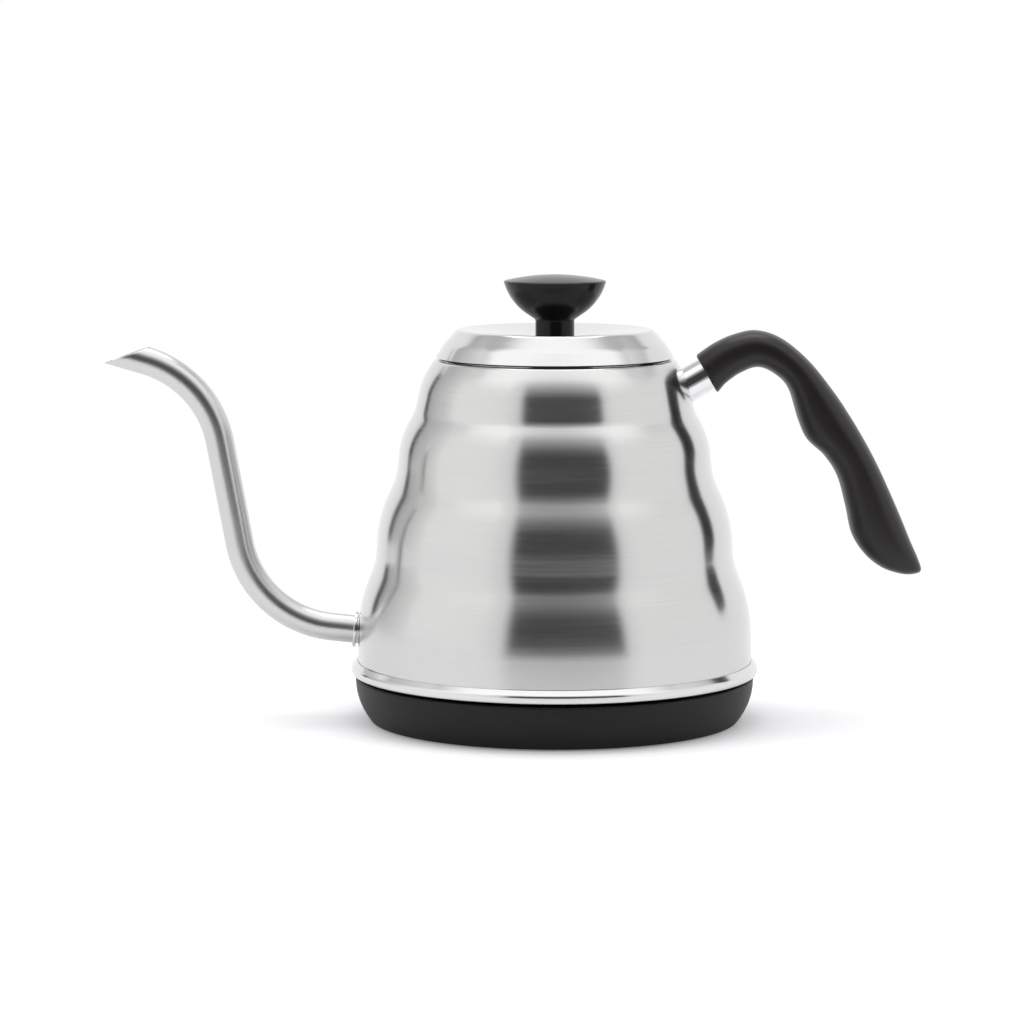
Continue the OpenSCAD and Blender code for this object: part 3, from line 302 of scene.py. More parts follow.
def moulded(name, colour, roughness, per_mm, depth, cloud=0.08, specular=0.5):
    """A black or coloured moulding with the tool's grain in it."""
    material, tree = blank_material(name)
    grain = node(tree, "ShaderNodeGroup", {
        "Per mm": per_mm, "Depth": depth, "Roughness": roughness, "Cloud": cloud,
        "Colour": colour}, node_tree=grain_group).outputs
    body = node(tree, "ShaderNodeBsdfPrincipled", {
        "Base Color": grain["Colour"], "Roughness": grain["Roughness"],
        "Normal": grain["Normal"], "IOR": 1.5, "Specular IOR Level": specular})
    node(tree, "ShaderNodeOutputMaterial", {"Surface": body.outputs[0]})
    return material


def dress(material, *names):
    """Gives CAD nodes a better material, and leaves their shape alone."""
    for name in names:
        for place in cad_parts[name].material_slots:
            place.material = material


base_plastic = moulded(
    "Base plastic", BASE_BLACK, roughness=0.46, per_mm=3.4, depth=0.35, specular=0.22)
dress(base_plastic, "base_shell", "base_plate")

# ---- Rubber feet ----
# Four moulded silicone pads, pressed into round pockets of the bottom plate. Each has a
# rounded edge and a shallow ring in its face, which grips the table.

FEET = {"count": 4, "ring": 51.0, "first": 45.0, "r": 6.0, "top": 1.6,
        "hollow": 0.25, "hollow_r": 2.2, "face_from": 2.9, "sides": 40, "steps": 4}
FOOT_ROUNDS = [0.3, 0.3, 0.45, 0.3]
RUBBER_BLACK = (0.018, 0.018, 0.019, 1)
WELD = 0.0005
SHARP_OVER = 38


def geometry_group(name, inputs):
    """An empty Geometry Nodes tree with its sockets."""
    group = bpy.data.node_groups.new(name, "GeometryNodeTree")
    group.interface.new_socket(name="Geometry", in_out="INPUT", socket_type="NodeSocketGeometry")
    for label, kind, value in inputs:
        made = group.interface.new_socket(name=label, in_out="INPUT", socket_type=kind)
        if value is not None:
            made.default_value = value
    group.interface.new_socket(name="Geometry", in_out="OUTPUT", socket_type="NodeSocketGeometry")
    return group, group.nodes.new("NodeGroupInput").outputs, group.nodes.new("NodeGroupOutput")


def end_tree(tree, given, out, geometry):
    """Makes the instances real, sets the material and hands the geometry out."""
    real = node(tree, "GeometryNodeRealizeInstances", {"Geometry": geometry})
    finished = node(tree, "GeometryNodeSetMaterial", {
        "Geometry": real.outputs[0], "Material": given["Material"]})
    give(tree, out, {"Geometry": finished.outputs[0]})


# Skin over rings: each point of the given mesh carries two half-axes, and the tree draws the
# ring that they span and joins each ring to the next. Spun, bent and drawn pieces all use it.
tree, given, out = geometry_group("Skin over rings", [
    ("Sides", "NodeSocketInt", 64), ("Fullness", FLOAT, 1.0),
    ("Material", "NodeSocketMaterial", None)])
skin_group = tree
rings_given, sides_given, fullness_given = (given[key] for key in ("Geometry", "Sides", "Fullness"))
rows = node(tree, "GeometryNodeAttributeDomainSize", {
    "Geometry": rings_given}).outputs["Point Count"]
grid = node(tree, "GeometryNodeMeshGrid", {
    "Vertices X": arithmetic(tree, "ADD", sides_given, 1.0), "Vertices Y": rows})
index = node(tree, "GeometryNodeInputIndex").outputs[0]
row = arithmetic(tree, "MODULO", index, rows)
# The half keeps the column's number clear of rounding.
column = arithmetic(tree, "FLOOR", arithmetic(
    tree, "DIVIDE", arithmetic(tree, "ADD", index, 0.5), rows))
turn = arithmetic(tree, "MULTIPLY", arithmetic(tree, "DIVIDE", column, sides_given), math.tau)


def at_row(tree, value):
    """The value that the given mesh carries at this row."""
    return node(tree, "GeometryNodeSampleIndex", {
        "Geometry": rings_given, "Value": value, "Index": row},
        data_type="FLOAT_VECTOR", domain="POINT").outputs["Value"]


def full(tree, wave):
    """The wave raised to the fullness, with its sign kept, which squares the ring up a little."""
    size = arithmetic(tree, "POWER", arithmetic(tree, "ABSOLUTE", wave), fullness_given)
    return arithmetic(tree, "MULTIPLY", size, arithmetic(tree, "SIGN", wave))


place = at_row(tree, node(tree, "GeometryNodeInputPosition").outputs[0])
for half_axis, wave in (("side", "COSINE"), ("rise", "SINE")):
    carried = node(tree, "GeometryNodeInputNamedAttribute", {"Name": half_axis},
                   data_type="FLOAT_VECTOR").outputs["Attribute"]
    reach = node(tree, "ShaderNodeVectorMath", {
        0: at_row(tree, carried), "Scale": full(tree, arithmetic(tree, wave, turn))},
        operation="SCALE")
    place = node(tree, "ShaderNodeVectorMath", {0: place, 1: reach.outputs[0]},
                 operation="ADD").outputs[0]
moved = node(tree, "GeometryNodeSetPosition", {
    "Geometry": grid.outputs["Mesh"], "Position": place})
merged = node(tree, "GeometryNodeMergeByDistance", {
    "Geometry": moved.outputs[0], "Distance": 2 * WELD * MM})
end_tree(tree, given, out, merged.outputs[0])


def run_tree(source, group, settings):
    """Runs a tree on an object and returns its result as a plain mesh object."""
    modifier = source.modifiers.new(group.name, "NODES")
    modifier.node_group = group
    for item in group.interface.items_tree:
        if item.item_type == "SOCKET" and item.in_out == "INPUT" and item.name in settings:
            modifier[item.identifier] = settings[item.name]
    return settle(source)


def settle(source):
    """Replaces an object's mesh by what its modifiers make of it, with smooth shading."""
    shown = source.evaluated_get(bpy.context.evaluated_depsgraph_get())
    mesh = bpy.data.meshes.new_from_object(shown)
    source.modifiers.clear()
    source.data = mesh
    work = bmesh.new()
    work.from_mesh(mesh)
    bmesh.ops.remove_doubles(work, verts=work.verts, dist=WELD * MM)
    bmesh.ops.recalc_face_normals(work, faces=work.faces)
    work.to_mesh(mesh)
    work.free()
    mesh.shade_smooth()
    mesh.set_sharp_from_angle(angle=math.radians(SHARP_OVER))
    return source


def skin(name, rings, sides, material, fullness=1.0):
    """A piece drawn over rings of (centre, half-axis, half-axis), in millimetres."""
    mesh = bpy.data.meshes.new(name)
    mesh.from_pydata([Vector(ring[0]) * MM for ring in rings], [], [])
    for axis, label in enumerate(("side", "rise"), 1):
        layer = mesh.attributes.new(label, "FLOAT_VECTOR", "POINT")
        for point, ring in zip(layer.data, rings):
            point.vector = Vector(ring[axis]) * MM
    made = bpy.data.objects.new(name, mesh)
    scene.collection.objects.link(made)
    return run_tree(made, skin_group, {"Sides": sides, "Fullness": fullness, "Material": material})


def spun(name, outline, sides, material):
    """A piece turned round the kettle's axis from an outline of (radius, height)."""
    return skin(name, [((0, 0, z), (r, 0, 0), (0, r, 0)) for r, z in outline], sides, material)


def corner(before, at, after, radius, steps):
    """The points of one rounded corner."""
    at = Vector(at)
    back, onward = (Vector(before) - at).normalized(), (Vector(after) - at).normalized()
    half = back.angle(onward) / 2
    centre = at + (back + onward).normalized() * radius / math.sin(half)
    start = at + back * radius / math.tan(half) - centre
    end = at + onward * radius / math.tan(half) - centre
    sweep = math.atan2(start.x * end.y - start.y * end.x, start.dot(end))
    first = math.atan2(start.y, start.x)
    turns = [first + sweep * step / steps for step in range(steps + 1)]
    return [(centre.x + radius * math.cos(turned), centre.y + radius * math.sin(turned))
            for turned in turns]


def rounded(points, radii, steps):
    """A line through the points with each inner corner rounded by its radius."""
    line = [points[0]]
    for number, radius in enumerate(radii):
        line += corner(*points[number:number + 3], radius, steps)
    return line + [points[-1]]


# Set round a circle: copies of one small piece at equal steps, as screws and feet are set.
tree, given, out = geometry_group("Set round a circle", [
    ("Count", "NodeSocketInt", 4), ("Ring radius", FLOAT, 0.05), ("First angle", FLOAT, 0.0),
    ("Height", FLOAT, 0.0), ("Material", "NodeSocketMaterial", None)])
circle_group = tree
index = node(tree, "GeometryNodeInputIndex").outputs[0]
share = arithmetic(tree, "DIVIDE", arithmetic(tree, "MULTIPLY", index, math.tau), given["Count"])
angle = arithmetic(tree, "ADD", share, given["First angle"])
place = node(tree, "ShaderNodeCombineXYZ", {
    "X": arithmetic(tree, "MULTIPLY", arithmetic(tree, "COSINE", angle), given["Ring radius"]),
    "Y": arithmetic(tree, "MULTIPLY", arithmetic(tree, "SINE", angle), given["Ring radius"]),
    "Z": given["Height"]})
spots = node(tree, "GeometryNodePoints", {"Count": given["Count"], "Position": place.outputs[0]})
facing = node(tree, "ShaderNodeCombineXYZ", {"Z": angle})
copies = node(tree, "GeometryNodeInstanceOnPoints", {
    "Points": spots.outputs[0], "Instance": given["Geometry"], "Rotation": facing.outputs[0]})
end_tree(tree, given, out, copies.outputs[0])


def set_round(piece, count, ring, first, height, material):
    """Copies a piece round the kettle's axis, at a ring radius and a height in millimetres."""
    return run_tree(piece, circle_group, {
        "Count": count, "Ring radius": ring * MM, "First angle": math.radians(first),
        "Height": height * MM, "Material": material})


rubber = moulded(
    "Silicone rubber", RUBBER_BLACK, roughness=0.62, per_mm=2.2, depth=0.25, specular=0.35)
foot_outline = rounded(
    [(0, FEET["hollow"]), (FEET["hollow_r"], FEET["hollow"]), (FEET["face_from"], 0),
     (FEET["r"], 0), (FEET["r"], FEET["top"]), (0, FEET["top"])], FOOT_ROUNDS, FEET["steps"])
feet = set_round(spun("feet_pads", foot_outline, FEET["sides"], rubber),
                 FEET["count"], FEET["ring"], FEET["first"], 0, rubber)
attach(feet, "base")
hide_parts("base_feet")
dress(rubber, "cord_gland")

# ---- Base screws ----
# Four zinc-plated pan-head screws with a cross recess, driven up through the bottom plate
# into the bowl's bosses. The post, the cover and the socket are held by the same kind.

BASE_SCREWS = {"count": 4, "ring": 46.0, "first": 65.0, "seat": 1.78, "r": 1.5, "length": 6.0,
               "head_r": 2.8, "head_h": 0.9}
# The head's flat as a share of its radius, its brim and its rounding as shares of its size, the
# shank's taper and point as shares of its radius, and the other roundings in mm
SCREW_SHAPE = {"flat": 0.7, "brim": 0.35, "soft": 0.2, "taper": 0.6, "point": 0.5,
               "rounds": [0.05, 0.1, 0.2, 0.2], "sides": 32, "steps": 3}
# The cross's reach as a share of the head's radius, half of a blade's width and its narrow end
# as shares of the reach, and how far the cutter stands out of the head in mm
CROSS = {"reach": 0.55, "blade": 0.22, "narrowed": 0.45, "out": 0.5}
ZINC = (0.60, 0.60, 0.59, 1)
LINE_DEPTH = 0.01
LINES_ROUND_TURN = 1.4
# How far the lines' grooves are painted darker and their ridges lighter: painted shade and sheen
LINE_PAINTED_SHADE = 0.10

# Worked metal: fine lines round the turning axis, and soft cloudy wear from wiping. The lines'
# grooves are painted darker as painted shade, and their ridges lighter as a painted sheen.
tree, given, out = shader_group(
    "Worked metal",
    [("Lines per mm", FLOAT, 2.0), ("Line depth", FLOAT, 0.1), ("Roughness", FLOAT, 0.2),
     ("Line swing", FLOAT, 0.05), ("Cloud swing", FLOAT, 0.05),
     ("Colour", COLOUR, (0.7, 0.7, 0.7, 1))],
    [("Colour", COLOUR), ("Roughness", FLOAT), ("Normal", VECTOR)])
worked_group = tree
place = node(tree, "ShaderNodeTexCoord").outputs["Object"]
at = node(tree, "ShaderNodeSeparateXYZ", {"Vector": place}).outputs
radius = arithmetic(tree, "SQRT", arithmetic(
    tree, "ADD", arithmetic(tree, "MULTIPLY", at["X"], at["X"]),
    arithmetic(tree, "MULTIPLY", at["Y"], at["Y"])))
per_metre = arithmetic(tree, "MULTIPLY", given["Lines per mm"], 1 / MM)
lines_at = node(tree, "ShaderNodeCombineXYZ", {
    "X": arithmetic(tree, "MULTIPLY", radius, per_metre),
    "Y": arithmetic(tree, "MULTIPLY", at["Z"], per_metre),
    "Z": arithmetic(tree, "MULTIPLY", arithmetic(tree, "ARCTAN2", at["Y"], at["X"]),
                    LINES_ROUND_TURN)})
lines = node(tree, "ShaderNodeTexNoise", {
    "Vector": lines_at.outputs[0], "Scale": 1.0, "Detail": 3.0, "Roughness": 0.65}).outputs["Fac"]
cloud = node(tree, "ShaderNodeTexNoise", {
    "Vector": place, "Scale": 38.0, "Detail": 3.0, "Roughness": 0.5, "Distortion": 0.6})
lines_off = arithmetic(tree, "SUBTRACT", lines, 0.5)
cloud_off = arithmetic(tree, "SUBTRACT", cloud.outputs["Fac"], 0.5)
swing = arithmetic(tree, "ADD", arithmetic(tree, "MULTIPLY", lines_off, given["Line swing"]),
                   arithmetic(tree, "MULTIPLY", cloud_off, given["Cloud swing"]))
# Painted shade and sheen along the lines, put into the colour
painted_line_shade = arithmetic(tree, "ADD", 1.0, arithmetic(tree, "MULTIPLY", lines_off, LINE_PAINTED_SHADE))
shade = node(tree, "ShaderNodeVectorMath", {0: given["Colour"], "Scale": painted_line_shade}, operation="SCALE")
bump = node(tree, "ShaderNodeBump", {
    "Height": lines, "Strength": given["Line depth"], "Distance": LINE_DEPTH * MM})
give(tree, out, {
    "Colour": shade.outputs[0], "Normal": bump.outputs["Normal"],
    "Roughness": arithmetic(tree, "ADD", given["Roughness"], swing)})


def worked(name, colour, roughness, per_mm, depth, line_swing=0.06, cloud_swing=0.05, stretch=0.0):
    """A metal with its working lines. A stretch above 0 draws highlights out across the lines."""
    material, tree = blank_material(name)
    lines = node(tree, "ShaderNodeGroup", {
        "Lines per mm": per_mm, "Line depth": depth, "Roughness": roughness,
        "Line swing": line_swing, "Cloud swing": cloud_swing, "Colour": colour},
        node_tree=worked_group).outputs
    metal = node(tree, "ShaderNodeBsdfPrincipled", {
        "Base Color": lines["Colour"], "Roughness": lines["Roughness"],
        "Normal": lines["Normal"], "Metallic": 1.0, "Anisotropic": stretch})
    if stretch:
        round_axis = node(tree, "ShaderNodeVectorMath", {
            0: (0, 0, 1), 1: node(tree, "ShaderNodeTexCoord").outputs["Object"]},
            operation="CROSS_PRODUCT")
        straight = node(tree, "ShaderNodeVectorMath", {0: round_axis.outputs[0]},
                        operation="NORMALIZE")
        tree.links.new(straight.outputs[0], metal.inputs["Tangent"])
        # A quarter turn, from along the lines to across them
        metal.inputs["Anisotropic Rotation"].default_value = 0.25
    node(tree, "ShaderNodeOutputMaterial", {"Surface": metal.outputs[0]})
    return material


def cut(piece, *tools):
    """Cuts each tool out of the piece and deletes the tool."""
    for tool in tools:
        modifier = piece.modifiers.new("cut", "BOOLEAN")
        modifier.operation, modifier.solver, modifier.object = "DIFFERENCE", "EXACT", tool
    settle(piece)
    for tool in tools:
        bpy.data.objects.remove(tool)
    return piece


def cross_tools(reach, low, high):
    """The two tapered blades that cut a cross recess, pointing up from below."""
    tools = []
    for turned in (False, True):
        corners = []
        for z, grow in ((low, 1.0), (high, CROSS["narrowed"])):
            for x, y in ((-1, -1), (1, -1), (1, 1), (-1, 1)):
                along, across = x * reach * grow, y * reach * CROSS["blade"]
                corners.append((across, along, z) if turned else (along, across, z))
        faces = [(0, 1, 2, 3), (4, 7, 6, 5), (0, 4, 5, 1), (1, 5, 6, 2), (2, 6, 7, 3), (3, 7, 4, 0)]
        mesh = bpy.data.meshes.new("cross")
        mesh.from_pydata([Vector(point) * MM for point in corners], [],
                         faces if turned else [face[::-1] for face in faces])
        tools.append(bpy.data.objects.new("cross", mesh))
        scene.collection.objects.link(tools[-1])
    return tools


def screw(name, size, material):
    """A screw that points up, with its domed head below 0 and a cross recess in it."""
    shape = SCREW_SHAPE
    r, length, head_r, head_h = (size[key] for key in ("r", "length", "head_r", "head_h"))
    outline = rounded([(0, -head_h), (head_r * shape["flat"], -head_h),
                       (head_r, -head_h * shape["brim"]), (head_r, 0), (r, 0),
                       (r, length - r * shape["taper"]), (r * shape["point"], length), (0, length)],
                      [head_r * shape["soft"], head_h * shape["soft"]] + shape["rounds"],
                      shape["steps"])
    tools = cross_tools(head_r * CROSS["reach"], -head_h - CROSS["out"], -head_h * shape["brim"])
    return cut(spun(name, outline, shape["sides"], material), *tools)


def screw_circle(name, size, material):
    """A circle of equal screws, with the undersides of their heads at the seat's height."""
    return set_round(screw(name, size, material), size["count"], size["ring"], size["first"],
                     size["seat"], material)


zinc = worked("Zinc-plated steel", ZINC, roughness=0.34, per_mm=3.0, depth=0.1)
base_screws = screw_circle("base_screw_set", BASE_SCREWS, zinc)
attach(base_screws, "base")
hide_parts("base_screws")

# ---- Contact post and its sprung collar ----
# The round half of the connector that stays in the base: a black moulded post with an earth
# pin, an inner and an outer contact ring of brass, and a loose collar on a conical spring.

POST_SCREWS = {"count": 3, "ring": 21.3, "first": 0.0, "seat": 8.28, "r": 1.5, "length": 2.8,
               "head_r": 2.5, "head_h": 1.1}
SPRING = {"wire_r": 0.4, "turns": 3.0, "mid_r": 12.95, "step": 1.04, "low": 6.42, "high": 8.68,
          "steps_a_turn": 40, "sides": 16}
INNER_BLACK = (0.028, 0.028, 0.029, 1)
BRASS = (0.73, 0.56, 0.29, 1)

inner_plastic = moulded("Connector plastic", INNER_BLACK, roughness=0.40, per_mm=2.6, depth=0.2)
brass = worked("Contact brass", BRASS, roughness=0.26, per_mm=3.5, depth=0.12)
dress(inner_plastic, "contact_post", "contact_collar", "kettle_socket", "thermostat")
dress(brass, "post_contacts", "socket_contacts", "switch_terminals", "element_pins")

post_screws = screw_circle("post_screw_set", POST_SCREWS, zinc)
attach(post_screws, "base")
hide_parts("post_screws")

coil = []
coil_steps = int(SPRING["turns"] * SPRING["steps_a_turn"])
for step in range(coil_steps + 1):
    up = step / coil_steps
    angle = math.tau * SPRING["turns"] * up
    r = SPRING["mid_r"] + SPRING["step"] * SPRING["turns"] * (0.5 - up)
    z = SPRING["low"] + (SPRING["high"] - SPRING["low"]) * up
    outward = Vector((math.cos(angle), math.sin(angle), 0))
    coil.append((outward * r + Vector((0, 0, z)), outward * SPRING["wire_r"],
                 (0, 0, SPRING["wire_r"])))
first_end, last_end = ((coil[end][0], (0, 0, 0), (0, 0, 0)) for end in (0, -1))
spring = skin("collar_spring_wire", [first_end] + coil + [last_end], SPRING["sides"], zinc)
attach(spring, "base")
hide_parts("collar_spring")

# ---- Switch and leads ----
# A snap-in rocker switch in the back wall, and silicone-sheathed leads from the gland to the
# switch and the post. The rocker is smooth black nylon, a little glossier than its frame.

SWITCH_BLACK = (0.016, 0.016, 0.017, 1)
SHEATH_RED = (0.36, 0.05, 0.035, 1)

switch_plastic = moulded("Rocker nylon", SWITCH_BLACK, roughness=0.24, per_mm=2.0, depth=0.05)
sheath = moulded("Lead sheath", SHEATH_RED, roughness=0.48, per_mm=2.0, depth=0.12)
dress(inner_plastic, "switch_frame")
dress(switch_plastic, "power_switch")
dress(sheath, "base_leads", "kettle_leads")

# ---- Kettle body ----
# One sheet of 18/10 stainless steel, 0.8 mm thick, spun into four ribs and brushed while it
# turned, so the lines run round it. The rim is turned in to a ledge and a short neck.

BODY = {"sheet": 0.8, "sides": 240, "rib_steps": 14, "mouth_steps": 8}
BODY_CORNERS = [(68.2, 17.2), (67.95, 40.1), (61.78, 55.0), (60.72, 71.3), (54.32, 84.8),
                (53.04, 98.8), (48.24, 107.1), (45.52, 118.7), (41.42, 125.2)]
BODY_ROUNDS = [51, 22, 43, 25, 30, 9.5, 25]
MOUTH = [(36.52, 124.7), (36.52, 120.9)]
MOUTH_ROUNDS = [1.3, 1.2]
BRUSHED = (0.66, 0.66, 0.655, 1)
# Where the spout's middle line meets the wall (x, z), and the hole that it passes through
SPOUT_ROOT = (-67.985, 31.3)
SPOUT_RISE = math.radians(6)
SPOUT_R = 4.85
SPOUT_HOLE = {"reach": 8, "room": 1.01, "sides": 48}


def inset(path, distance):
    """The same line moved to the left of its direction."""
    moved = []
    for number, at in enumerate(path):
        squares = []
        for start, end in ((number - 1, number), (number, number + 1)):
            if 0 <= start and end < len(path):
                along = (Vector(path[end]) - Vector(path[start])).normalized()
                squares.append(Vector((-along.y, along.x)))
        mitre = (squares[0] + squares[-1]).normalized()
        moved.append(tuple(Vector(at) + mitre * distance / mitre.dot(squares[0])))
    return moved


def sheet_of(path, thickness):
    """A closed outline of a sheet along a line, with the edges at its two ends."""
    return path + inset(path, thickness)[::-1] + [path[0]]


def bore(name, at, along, side, rise, start, end, sides, material):
    """A closed round cutter along a line, from its start to its end."""
    return skin(name, [(at + along * place, side * width, rise * width)
                       for place, width in ((start, 0), (start, 1), (end, 1), (end, 0))],
                sides, material)


def way(rise):
    """The direction of the spout where it climbs at this angle."""
    return Vector((-math.cos(rise), 0, math.sin(rise)))


def over(rise):
    """Square to the spout's run, on its upper side."""
    return Vector((math.sin(rise), 0, math.cos(rise)))


brushed = worked("Brushed body steel", BRUSHED, roughness=0.20, per_mm=2.2, depth=0.24,
                 line_swing=0.10, cloud_swing=0.05, stretch=0.72)
body_side = rounded(BODY_CORNERS, BODY_ROUNDS, BODY["rib_steps"])
body_top = rounded([body_side[-2], BODY_CORNERS[-1]] + MOUTH, MOUTH_ROUNDS, BODY["mouth_steps"])
body = spun("ribbed_body", sheet_of(body_side[:-1] + body_top[1:], BODY["sheet"]),
            BODY["sides"], brushed)
spout_root = Vector((SPOUT_ROOT[0], 0, SPOUT_ROOT[1]))
hole_r = SPOUT_R * SPOUT_HOLE["room"]
cut(body, bore("spout_hole", spout_root, way(SPOUT_RISE), Vector((0, hole_r, 0)),
               over(SPOUT_RISE) * hole_r, -SPOUT_HOLE["reach"], SPOUT_HOLE["reach"],
               SPOUT_HOLE["sides"], brushed))
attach(body, "kettle")
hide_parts("body_shell")
dress(brushed, "body_floor", "lid_ring")

# ---- Foot ring ----
# A turned and polished steel bead, pressed over the foot of the body. Its upper lip closes on
# the wall and its lower edge stands just clear of the base.

RING = {"z": 16.6, "h": 4.6, "r": 70.3, "inner": 68.22, "under": 67.2, "top": 17.18,
        "bevel": 1.2, "bevel_h": 0.4, "side": 0.6, "lip": 0.5, "sides": 240, "steps": 10}
RING_ROUNDS = [0.9, 1.6]
POLISHED = (0.74, 0.74, 0.735, 1)

polished = worked("Polished steel", POLISHED, roughness=0.17, per_mm=3.0, depth=0.05,
                  line_swing=0.05, cloud_swing=0.03, stretch=0.6)
ring_top = RING["z"] + RING["h"]
ring_outline = [(RING["under"], RING["z"])] + rounded([
    (RING["r"] - RING["bevel"], RING["z"]), (RING["r"], RING["z"] + RING["bevel_h"]),
    (RING["r"], RING["z"] + RING["h"] * RING["side"]),
    (RING["inner"] + RING["lip"], ring_top)], RING_ROUNDS, RING["steps"]) + [
    (RING["inner"], ring_top), (RING["inner"], RING["top"]), (RING["under"], RING["top"]),
    (RING["under"], RING["z"])]
ring = spun("foot_bead", ring_outline, RING["sides"], polished)
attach(ring, "kettle")
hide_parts("foot_ring")

# ---- Spout ----
# A drawn steel tube, 9.7 mm across, bent twice on a mandrel and polished. Its end is cut at a
# slant for a thin stream, and a small collar is welded round it where it enters the body.

SPOUT = {"wall": 0.8, "inside": 2.2, "root_l": 9.4, "bend1_r": 35.9, "mid": 79.5, "mid_l": 35.9,
         "bend2_r": 36.0, "tip": 16.5, "tip_l": 0.3, "cut": 36.0, "sides": 64,
         "bend_steps": 30, "lip_steps": 8}
TIP_SHARES = (0.25, 0.5, 0.75, 1.0)
SPOUT_COLLAR = {"r": 6.2, "t": 1.2, "off": 0.4, "free": 0.02, "sides": 64}
TUBE_STEEL = (0.67, 0.67, 0.665, 1)


def bend(start, radius, first, last):
    """The rows of one bend, as (centre, climb, slant); below 0 the radius bends it down."""
    rises = [first + (last - first) * step / SPOUT["bend_steps"]
             for step in range(SPOUT["bend_steps"] + 1)]
    return [(start + radius * (over(first) - over(rise)), rise, 0.0) for rise in rises]


def spout_ring(at, rise, slant, r, back=0.0):
    """One ring of the tube; a slanting ring follows the cut of the tip."""
    return (at - way(rise) * (slant * SPOUT_R + back), (over(rise) - way(rise) * slant) * r,
            (0, r, 0))


mid_rise, tip_rise, cut_at = (math.radians(SPOUT[key]) for key in ("mid", "tip", "cut"))
root_end = spout_root + way(SPOUT_RISE) * SPOUT["root_l"]
spout_line = [(spout_root - way(SPOUT_RISE) * SPOUT["inside"], SPOUT_RISE, 0.0)]
spout_line += bend(root_end, SPOUT["bend1_r"], SPOUT_RISE, mid_rise)
mid_end = spout_line[-1][0] + way(mid_rise) * SPOUT["mid_l"]
spout_line += bend(mid_end, -SPOUT["bend2_r"], mid_rise, tip_rise)
tip_from = spout_line[-1][0]
tip_l = SPOUT["tip_l"] + 2 * SPOUT_R / math.tan(cut_at)
spout_line += [(tip_from + way(tip_rise) * tip_l * share, tip_rise, share / math.tan(cut_at))
               for share in TIP_SHARES]

inner_r = SPOUT_R - SPOUT["wall"]
middle_r, half_wall = (SPOUT_R + inner_r) / 2, SPOUT["wall"] / 2
spout_rings = [spout_ring(*place, SPOUT_R) for place in spout_line[:-1]]
for step in range(SPOUT["lip_steps"] + 1):
    round_lip = math.pi * step / SPOUT["lip_steps"]
    lip_r = middle_r + half_wall * math.cos(round_lip)
    spout_rings.append(spout_ring(*spout_line[-1], lip_r, half_wall * (1 - math.sin(round_lip))))
spout_rings += [spout_ring(*place, inner_r) for place in spout_line[-2::-1]]
spout_rings.append(spout_rings[0])

tube_steel = worked("Polished tube steel", TUBE_STEEL, roughness=0.30, per_mm=2.0, depth=0.015,
                    line_swing=0.015, cloud_swing=0.03)
spout = skin("spout_pipe", spout_rings, SPOUT["sides"], tube_steel)
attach(spout, "kettle")
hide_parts("spout_tube")

collar_from = spout_root + way(SPOUT_RISE) * SPOUT_COLLAR["off"]
collar_r, collar_t = SPOUT_COLLAR["r"], SPOUT_COLLAR["t"]
bore_r = SPOUT_R + SPOUT_COLLAR["free"]
# Along the tube, and the radius: in at the wall, round both edges and back along the bore
collar_rows = [(0, bore_r), (0, collar_r - 0.25), (0.1, collar_r - 0.06), (0.3, collar_r),
               (collar_t - 0.35, collar_r), (collar_t - 0.1, collar_r - 0.1),
               (collar_t, collar_r - 0.35), (collar_t, bore_r), (0, bore_r)]
spout_collar = skin("spout_flange", [
    (collar_from + way(SPOUT_RISE) * along, over(SPOUT_RISE) * r, (0, r, 0))
    for along, r in collar_rows], SPOUT_COLLAR["sides"], polished)
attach(spout_collar, "kettle")
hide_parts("spout_collar")

# ---- Underside of the kettle ----
# A black moulded cover closes the foot and carries the seal. Above it are the aluminium heat
# plate with its bent tubular element, the controls, and the connector's other half.

COVER_SCREWS = {"count": 3, "ring": 53.2, "first": 30.0, "seat": 13.28, "r": 1.5, "length": 6.0,
                "head_r": 2.7, "head_h": 0.8}
SOCKET_SCREWS = {"count": 3, "ring": 19.6, "first": 60.0, "seat": 19.78, "r": 1.25,
                 "length": 4.4, "head_r": 2.2, "head_h": 1.4}
ALUMINIUM = (0.66, 0.67, 0.68, 1)
ELEMENT_STEEL = (0.40, 0.40, 0.39, 1)
CERAMIC = (0.72, 0.70, 0.62, 1)

aluminium = worked("Pressed aluminium", ALUMINIUM, roughness=0.38, per_mm=1.6, depth=0.2,
                   line_swing=0.08, cloud_swing=0.1)
element_steel = worked("Element sheath", ELEMENT_STEEL, roughness=0.42, per_mm=2.0, depth=0.2,
                       line_swing=0.1, cloud_swing=0.15)
ceramic = moulded("Glazed ceramic", CERAMIC, roughness=0.18, per_mm=1.2, depth=0.05)
dress(base_plastic, "underside_cover")
dress(rubber, "cover_seal")
dress(zinc, "cover_studs")
dress(aluminium, "heat_plate")
dress(element_steel, "heating_element")
dress(ceramic, "thermal_fuse")

cover_screws = screw_circle("cover_screw_set", COVER_SCREWS, zinc)
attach(cover_screws, "kettle")
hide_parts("cover_screws")

socket_screws = screw_circle("socket_screw_set", SOCKET_SCREWS, zinc)
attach(socket_screws, "kettle")
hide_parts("socket_screws")

# ---- Handle ----
# A soft-black moulded grip with waves for the fingers, pushed over a steel tang and held by
# one screw from below. A short chromed ferrule covers the tang between body and grip.

FACE = (52.2, 120.05)
FERRULE_RISE = math.radians(30)
